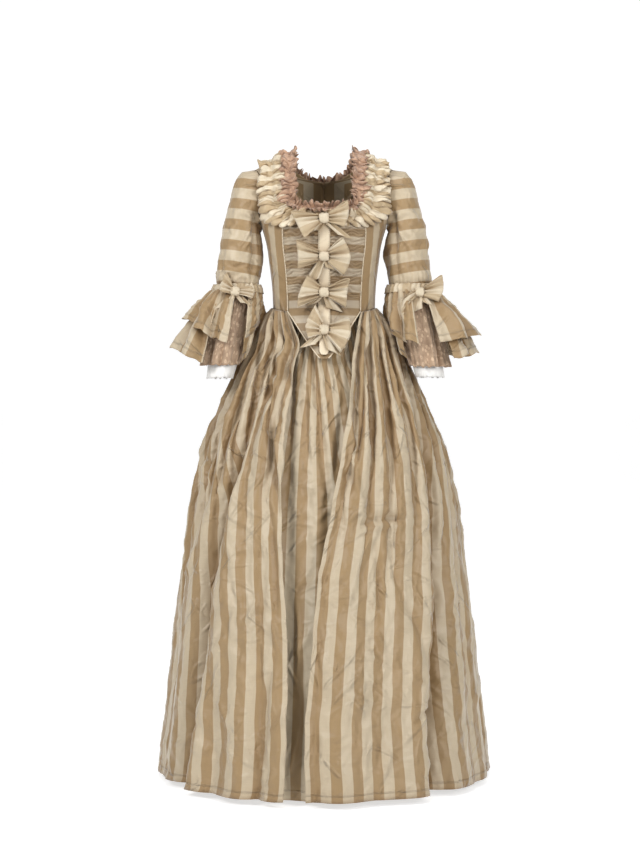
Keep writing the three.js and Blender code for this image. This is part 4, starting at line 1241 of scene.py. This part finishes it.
def layer(kind, label, side):
    """A flounce or ruffle. The taffeta ones are open inside the elbow, and the others are rings."""
    name = f"{kind}_{label}"
    columns, rows, width, gathers, gather_deep, crumpled = LAYER_LOOKS[kind]
    gap = LAYERS[kind]["gap"] and LAYERS[kind]["gap"][side]
    start, end = (gap[1] / 360, 1 + gap[0] / 360) if gap else (0, 1)
    around = steps(columns, start, end) if gap else np.arange(columns) / columns
    share, v = np.meshgrid(around, steps(rows))
    turn = TAU * share
    ragged = 1 + 0.02 * noise(share * 40, 0 * share, 131 + side) * (v > 0)
    if gap:
        ragged = ragged + 0.07 * noise(share * 13, 0 * share, 134 + side) * (v > 0)
    points = layer_points(kind, turn, v * ragged, side)
    out = np.stack([side * np.cos(turn), -np.sin(turn), 0.3 + 0 * turn], -1)
    flat_u = share * width
    seed = 141 + 11 * side + len(kind)
    tucks = share * gathers + 0.6 * noise(share * 14, v * 1.5, seed + 20)
    relief = gather_deep * (1 - rise(0.2, 0.95, v)) * rise(0, 0.12, v) * groove(tucks, 0.8)
    folds = FLOUNCE_FOLDS[kind, side] + BACK_FOLDS if gap else ()
    for at, wide, tall in folds:
        off = (share * 360 - at + 180) % 360 - 180 + 5 * np.sin(5 * v + at)
        relief = relief + FOLD_HEIGHT * tall * rise(0.02, 0.7, v) * bell(off / wide)
    across, down = flat_u / MM / 2, 110 * v
    rumple = crumple(across, down, 38, seed, 1.6) + 0.5 * crumple(across, down, 17, seed + 9, 1)
    relief = relief + crumpled * rise(0, 0.25, v) * rumple
    points = points + normals(points, not gap, out) * relief[..., None]
    deep = lengths(points, 0)[-1].mean() * (1 - v)
    if not gap:
        flat_u = ring(flat_u, width)
        deep = ring(deep)
    material, slot = LAYER_CLOTHS.get(kind, (FLOUNCE_CLOTH, "striped_taffeta"))
    thick = FINE_CLOTH if kind in LAYER_CLOTHS else TAFFETA
    cloth(name, points, pair(flat_u, deep), out, material,
          closed=not gap, thick=thick)


def elbow_band(label, side):
    """The gathered heading over the flounces' seam."""
    columns, rows = 180, 8
    turn, v = np.meshgrid(np.arange(columns) / columns * TAU, steps(rows))
    ruffle = groove(turn / TAU * 30 + 0.4 * noise(turn * 4, v, 151 + side), 0.8)
    reach = mix(ELBOW_BAND["low_out"], ELBOW_BAND["top_out"], v) + 0.6
    reach = reach + ruffle * mix(0.8, 2.6, np.abs(2 * v - 0.7)) + 2.4 * np.sin(math.pi * v) ** 2
    z = mix(ELBOW_BAND["low"], ELBOW_BAND["high"], v) + 2.2 * noise(turn * 6, v, 155) * v
    points = np.stack([side * (ELBOW["x"] + reach * np.cos(turn)), ELBOW["y"] - reach * np.sin(turn), z], -1)
    out = np.stack([side * np.cos(turn), -np.sin(turn), 0 * turn], -1)
    across = ring(turn, TAU) / TAU * ELBOW_BAND["long"]
    deep = ring(v) * ELBOW_BAND["wide"]
    cloth(f"elbow_band_{label}", points, pair(across, deep), out, BOW_CLOTH,
          closed=True)


# ---------------------------------------------------------------- neckline trims
NECK = table("k x trim way", *(
    (k, x, trim, front * way_of(0 if z is None else shoulder_z(x) - z))
    for k, (x, z, trim, front) in enumerate(NECKLINE)
))
NECK_LAST = len(NECKLINE) - 1


def neck_place(s):
    """The neckline at s, from 0 at the centre front round to 1, and the way outwards from it."""
    s = s % 1
    half = np.where(s <= 0.5, s, 1 - s)
    side = np.where(s <= 0.5, 1, -1)
    k = 2 * half * NECK_LAST

    def pick(at, column):
        return read(NECK, "k", clamp(at, 0, NECK_LAST), column)

    ahead_x = pick(k + 0.3, "x") - pick(k - 0.3, "x")
    ahead_way = pick(k + 0.3, "way") - pick(k - 0.3, "way")
    size = np.hypot(ahead_x, ahead_way)
    return side * pick(k, "x"), pick(k, "way"), pick(k, "trim"), -side * ahead_way / size, ahead_x / size


def wrap_body(x, way):
    z = shoulder_z(x) - fall_of(np.abs(way))
    front, back = on_body(x, z, False), on_body(x, z, True)
    return np.where((way < 0)[..., None], back, front)


def over_body(x, way, lift):
    """A point that stands off the body by lift, at x and the way down from the shoulder line."""
    step = 0.5
    across = wrap_body(x + step, way) - wrap_body(x - step, way)
    down = wrap_body(x, way + step) - wrap_body(x, way - step)
    out = np.cross(down, across)
    out /= np.maximum(np.linalg.norm(out, axis=-1, keepdims=True), 1e-9)
    return wrap_body(x, way) + out * np.asarray(lift)[..., None]


def neck_strip(name, columns, rows, start, end, lift, sway, pinch, width, long, material,
               thick, slant=0.0):
    """A gathered strip round the neck. start and end are how far its edges lie from the neckline,
    lift is how far it stands off the body, and sway and pinch move it out and along."""
    s, w = np.meshgrid(np.arange(columns) / columns, steps(rows))
    level = slant * w * clamp(1.4 * np.sin(TAU * s), -1, 1)
    x, way, trim, out_x, out_way = neck_place(s + level + pinch(s, w))
    away = mix(start(trim), end(trim), w) + sway(s, w)
    to_x = clamp(x + away * out_x, -TRIM_REACH, TRIM_REACH)
    points = over_body(to_x, way + away * out_way, lift(s, w))
    out = points - over_body(x + 20 * out_x, way + 20 * out_way, -60 + 0 * x)
    uv = pair(ring(s, 1) * long, ring(w) * width)
    cloth(name, points, uv, out, material, closed=True, thick=thick)


def striped_trim():
    """A striped strip, puffed into uneven petals either side of its sewn line. The corners of the
    neckline take five puffs more on each side."""
    puffs = 40

    def phase(s, w):
        slant = 2.4 * noise(s * 19, 0 * w, 160) * (w - 0.5)
        corners = 5 * (rise(0.06, 0.17, s) + rise(0.83, 0.94, s))
        return puffs * s + corners + 0.8 * noise(s * 24, w * 2.2, 161) + slant + 0.5 * rise(0.38, 0.58, w)

    def lift(s, w):
        petal = np.abs(np.cos(math.pi * phase(s, w))) ** 0.8
        tall = 0.62 + 0.6 * noise(s * 29, w * 2.6, 163)
        inner_row = np.sin(math.pi * clamp(2.1 * w)) ** 0.7
        outer_row = np.sin(math.pi * 0.66 * clamp(2 * w - 0.95)) ** 0.7
        sewn = 0.16 * rise(0, 0.2, w) + 0.95 * np.maximum(inner_row * (w < 0.475), outer_row)
        folded = 5.5 * np.abs(noise(s * 95, w * 4, 164)) + 1.4 * crumple(s * 1400, w * 70, 13, 165, 1)
        return 2 + 15 * petal * tall * sewn + folded * (0.1 + sewn)

    def sway(s, w):
        swing = 9 * (w - 0.5) * np.sin(TAU * phase(s, w) + 1.2)
        return swing + 12 * (w - 0.5) * noise(s * 36, w, 167)

    def pinch(s, w):
        lean = 0.0022 * noise(s * 30, w * 2.4, 168)
        return 0.0036 * np.sin(TAU * phase(s, w)) * (0.4 + 0.9 * np.abs(w - 0.45)) + lean

    neck_strip("neckline_trim", 800, 18, lambda trim: 14 + 0 * trim, lambda trim: 15 + trim, lift, sway,
               pinch, 0.072, 1.4, TRIM_CLOTH, TAFFETA, 0.03)


def tulle_ruche():
    """Brown net, gathered in two frills along one sewn line. It is narrow at the centre front."""
    waves = 56

    def turns(s, w):
        return waves * s + 1.0 * noise(s * 40, w * 1.7, 171) + 0.5 * rise(0.35, 0.6, w)

    def lift(s, w):
        edge = clamp(2.4 * np.abs(w - 0.45)) ** 0.8
        frill = np.abs(np.cos(math.pi * turns(s, w)))
        fine = 2.2 * noise(s * 150, w * 5, 174)
        lumps = 0.78 + 0.9 * noise(s * 40, w * 2.4, 172)
        return 2.6 + 1.5 * w + (17 * frill * (0.16 + 0.84 * edge) + fine * edge) * lumps

    def sway(s, w):
        swing = 7 * (w - 0.5) * np.sin(TAU * turns(s, w) + 0.7)
        return swing + 12 * (w - 0.5) * noise(s * 44, w * 1.5, 173)

    def pinch(s, w):
        return 0.0014 * np.sin(TAU * turns(s, w)) + 0.003 * noise(s * 44, w * 3, 175)

    neck_strip("tulle_ruche", 820, 12, lambda trim: -13 + 11 * rise(52, 36, trim),
               lambda trim: 21 + 0 * trim, lift, sway, pinch, 0.048, 1.45, TULLE, FINE_CLOTH)


# ---------------------------------------------------------------- bows
def bow_loop(shape, side, seed):
    """A loop of ribbon: out from the knot, over at its end, and back behind. It is pinched at the
    knot. shape gives its span, the heights of its upper and lower corners, its lean, how far the
    corners stand out past the middle, and how much further the upper one reaches."""
    span, top, low, lean, corner, skew = shape
    s, w = np.meshgrid(steps(40, 0.03, 0.97), steps(18, -1, 1))
    out = np.sin(math.pi * s)
    half = np.where(w > 0, mix(8, top, out**0.75), mix(8, low, out**0.75))
    flat = np.abs(w) ** 1.6
    x = 2 + (span - 2 + corner * flat + skew * w) * power(out, 0.8)
    behind = -np.cos(math.pi * s)
    ribs = np.abs(np.cos(math.pi * (1.7 * w + 0.21 * seed + 0.3 * s))) ** 0.6
    pleats = 1.8 * ribs * (1 - 0.35 * out) + 0.5 * np.cos(TAU * (2.3 * w + seed))
    y = (2.4 + 6.8 * out * (1 - 0.35 * flat)) * behind - 8
    y += 6.5 * (pleats - 1.2) * (1 - s) ** 0.8 - 4.2 * out * crumple(55 * s, 34 * w, 15, 181 + seed, 1)
    peek = 6 * np.sin(math.pi * clamp(2 * s - 1))
    z = half * w + lean * out + peek
    points = np.stack([side * x, y, z], -1)
    facing = np.stack([side * np.sin(math.pi * s), -np.cos(math.pi * s), 0 * s], -1)
    uv = pair(w * (top + low) / 2 * MM + 0.003 * (seed % 3 - 1), s * span * 1.95 * MM)
    return points, uv, facing


def bow_tail(side, length, drift, width, seed):
    """A flat end that hangs from behind the knot, cut on the slant."""
    s, w = np.meshgrid(steps(20), steps(10, -1, 1))
    half = mix(7, width, s**0.8)
    x = side * (3 + drift * length * s) + w * half
    fold = 2.6 * np.cos(TAU * (0.75 * w + 0.2 * seed)) * (1 - 0.4 * s)
    y = -4.4 - fold - 1.2 * crumple(30 * s, 20 * w, 12, 191 + seed, 1)
    z = -3 - length * s * (1 + 0.16 * w * side)
    uv = pair(w * width * MM + 0.012 * seed, s * length * MM)
    return np.stack([x, y, z], -1), uv, FORWARDS


def bow_knot(wide, high, deep, seed):
    """A band of ribbon wrapped over the middle, narrower where it turns away."""
    turn, w = np.meshgrid(np.arange(24) / 24 * TAU, steps(10, -1, 1))
    pinch = 1 - 0.12 * np.cos(2 * turn) * np.abs(w)
    x = wide * w * mix(0.86, 1.0, np.abs(np.cos(turn)))
    folds = 0.7 * np.cos(TAU * (1.5 * w + 0.3 * seed)) + 0.8 * crumple(20 * w, 12 * turn, 10, 201 + seed, 1)
    bulge = 1 - 0.16 * w**2
    y = -8 - (deep + folds) * np.cos(turn) * bulge * pinch
    z = (high + folds) * np.sin(turn) * bulge
    points = np.stack([x, y, z], -1)
    uv = pair(ring(w) * wide * MM, ring(turn, TAU) * high * MM)
    return points, uv, points - np.array((0, -8, 0))


BOWS = [
    # height, lift, tilt, loops towards -X and +X (see bow_loop), tails (side, length, drift, half
    # width) and knot (half width, half height, depth)
    {"z": -141, "lift": 10.9, "tilt": -4, "right": (66, 26, 42, -6, -3, 14), "left": (58, 34, 30, 4, -6, 7),
     "tails": ((-1, 26, 0.8, 16), (1, 46, 0.95, 17)), "knot": (12, 12.5, 8)},
    {"z": -227, "lift": 6.6, "tilt": 2, "right": (62, 30, 34, 4, 2, 3), "left": (62, 42, 46, 1, -17, -2),
     "tails": ((-1, 58, 0.45, 20), (1, 26, 0.5, 13)), "knot": (12, 11, 8)},
    {"z": -311, "lift": 12, "tilt": -3, "right": (60, 42, 30, -2, -9, -13), "left": (54, 31, 38, -4, 2, 6),
     "tails": ((-1, 24, 1.2, 15), (1, 40, 0.5, 19)), "knot": (12, 11.5, 8)},
    {"z": -403, "lift": 6.9, "tilt": 5, "right": (44, 50, 34, 8, -14, -4), "left": (62, 42, 46, -10, -13, 7),
     "tails": ((-1, 40, 0.8, 18), (1, 50, 0.5, 18)), "knot": (12, 12, 8)},
]


def turned(points, pitch, roll, at):
    """Turns points about X by pitch and about Y by roll, then moves them."""
    sin, cos = math.sin, math.cos
    about_x = np.array([[1, 0, 0], [0, cos(pitch), -sin(pitch)], [0, sin(pitch), cos(pitch)]])
    about_y = np.array([[cos(roll), 0, sin(roll)], [0, 1, 0], [-sin(roll), 0, cos(roll)]])
    return points @ (about_x @ about_y).T + at


def bow(name, spec, pitch, roll, at, seed, rests_on):
    """A bow: two loops, two tails and the knot, which is the last part."""
    parts = [bow_loop(spec["right"], -1, seed), bow_loop(spec["left"], 1, seed + 0.4)]
    parts += [bow_tail(*tail, seed + 0.3 * k) for k, tail in enumerate(spec["tails"])]
    parts.append(bow_knot(*spec["knot"], seed))
    made = [
        shell(f"{name}_{k}", turned(points, pitch, roll, at), uv, turned(out, pitch, roll, 0),
              BOW_CLOTH, TAFFETA, closed=k == len(parts) - 1)
        for k, (points, uv, out) in enumerate(parts)
    ]
    piece = join(name + "_ribbon", made)
    place(piece, name)
    area = sum(cut_of(uv)[2] for _, uv, _ in parts)
    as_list(rests_on)


def stomacher_bows():
    for k, spec in enumerate(BOWS):
        high, low = front_surface(0, spec["z"] + 30, 0), front_surface(0, spec["z"] - 30, 0)
        slope = (high[1] - low[1]) / 60
        at = front_surface(0, spec["z"], spec["lift"])
        bow(f"bow_{k + 1}", spec, -math.atan(slope), spec["tilt"] * RAD, at, k + 1, ["centre_band"])


ELBOW_BOWS = {
    -1: {"x": 210, "z": -309, "right": (36, 38, 16, 12, -8, -6), "left": (46, 15, 17, -4, -7, 0),
         "tails": ((-1, 36, 0.72, 19), (1, 28, 0.8, 13)), "knot": (11, 12, 8)},
    1: {"x": 226, "z": -311, "right": (40, 14, 44, -24, -4, -8), "left": (56, 38, 30, 4, -7, 6),
        "tails": ((-1, 46, 0.25, 20), (1, 26, 0.6, 12)), "knot": (11, 12, 8)},
}


def elbow_bows():
    for label, side in SIDES:
        spec = ELBOW_BOWS[side]
        at = np.array((side * spec["x"], ELBOW["y"] - 65, spec["z"]))
        bow(f"elbow_bow_{label}", spec, -0.4, 0, at, 6 + side, [f"elbow_band_{label}"])


# ---------------------------------------------------------------- the stage
def camera():
    """The photograph's camera: level, in front, and in its own frame of pixels."""
    data = bpy.data.cameras.new("camera")
    data.sensor_fit = "VERTICAL"
    data.sensor_height = SENSOR
    data.sensor_width = SENSOR
    data.lens = FOCAL_PIXELS / PICTURE_HEIGHT * SENSOR
    data.clip_end = 100
    eye = link("camera", data)
    eye.location = CAMERA_AT
    eye.rotation_euler = (math.pi / 2, 0, 0)
    bpy.context.scene.camera = eye


FLOOR_GLOW = 0.64
WORLD_LIGHT = 0.3
LAMPS = [
    # name, place, what it points at, width and height in metres, watts
    ("key", (-2.6, -2.6, 1.3), (0, 0, -0.7), (0.9, 1.3), 104),
    ("fill", (2.1, -3.2, 0.5), (0, 0, -0.8), (0.8, 1.6), 80),
    ("top", (0.2, -1.1, 2.2), (0, 0, -0.6), (1.6, 1.2), 36),
]


def floor():
    """A pale floor that curves up into a backdrop far behind. It glows a little, for a white ground."""
    n = Nodes("floor")
    place_at = n.add("ShaderNodeTexCoord", output=3)
    color = n.blend(n.noise(place_at, 3, 3.0), (0.6, 0.6, 0.6, 1), (0.63, 0.63, 0.63, 1))
    n.put(n.shader.inputs["Emission Color"], (1, 1, 1, 1))
    n.put(n.shader.inputs["Emission Strength"], FLOOR_GLOW)
    material = n.finish(color, None, 0.7)
    half, near, far, high, bend = 9, -7, 6, 7, 2.5
    turns = np.linspace(0, math.pi / 2, 16)
    arc = [(far + bend * math.sin(a), FLOOR_Z + bend * (1 - math.cos(a))) for a in turns]
    line = [(near, FLOOR_Z), *arc, (far + bend, FLOOR_Z + high)]
    places = [(x, y, z) for y, z in line for x in (-half, half)]
    faces = [(2 * k, 2 * k + 1, 2 * k + 3, 2 * k + 2) for k in range(len(line) - 1)]
    made_mesh("floor", places, faces, [True] * len(faces), material)


def lamp(name, at, aim, size, watts):
    """A soft box at one place that points at another."""
    data = bpy.data.lights.new(name, "AREA")
    data.shape = "RECTANGLE"
    data.size, data.size_y = size
    data.energy = watts
    light = link(name, data)
    light.location = at
    way = np.array(aim) - np.array(at)
    yaw = math.atan2(way[0], way[1])
    pitch = math.atan2(way[2], math.hypot(way[0], way[1]))
    light.rotation_euler = (math.pi / 2 + pitch, 0, -yaw)


def lights():
    world = bpy.data.worlds.new("studio")
    bpy.context.scene.world = world
    world.use_nodes = True
    sky = world.node_tree.nodes["Background"]
    sky.inputs["Color"].default_value = (1, 1, 1, 1)
    sky.inputs["Strength"].default_value = WORLD_LIGHT
    for spec in LAMPS:
        lamp(*spec)
    bpy.context.scene.view_settings.view_transform = "Standard"


# ---------------------------------------------------------------- assembly
camera()
floor()
lights()
for LABEL, SIDE in SIDES:
    bodice_panel(f"bodice_front_{LABEL}", FRONT_ROWS, SIDE, False)
    bodice_panel(f"bodice_back_{LABEL}", BACK_ROWS, SIDE, True)
    stomacher_half(f"stomacher_{LABEL}", SIDE)
    sleeve(f"sleeve_{LABEL}", SIDE)
    elbow_band(LABEL, SIDE)
    for KIND in LAYER_LOOKS:
        layer(KIND, LABEL, SIDE)
centre_band()
pipings()
robe_skirt()
petticoat()
striped_trim()
tulle_ruche()
stomacher_bows()
elbow_bows()
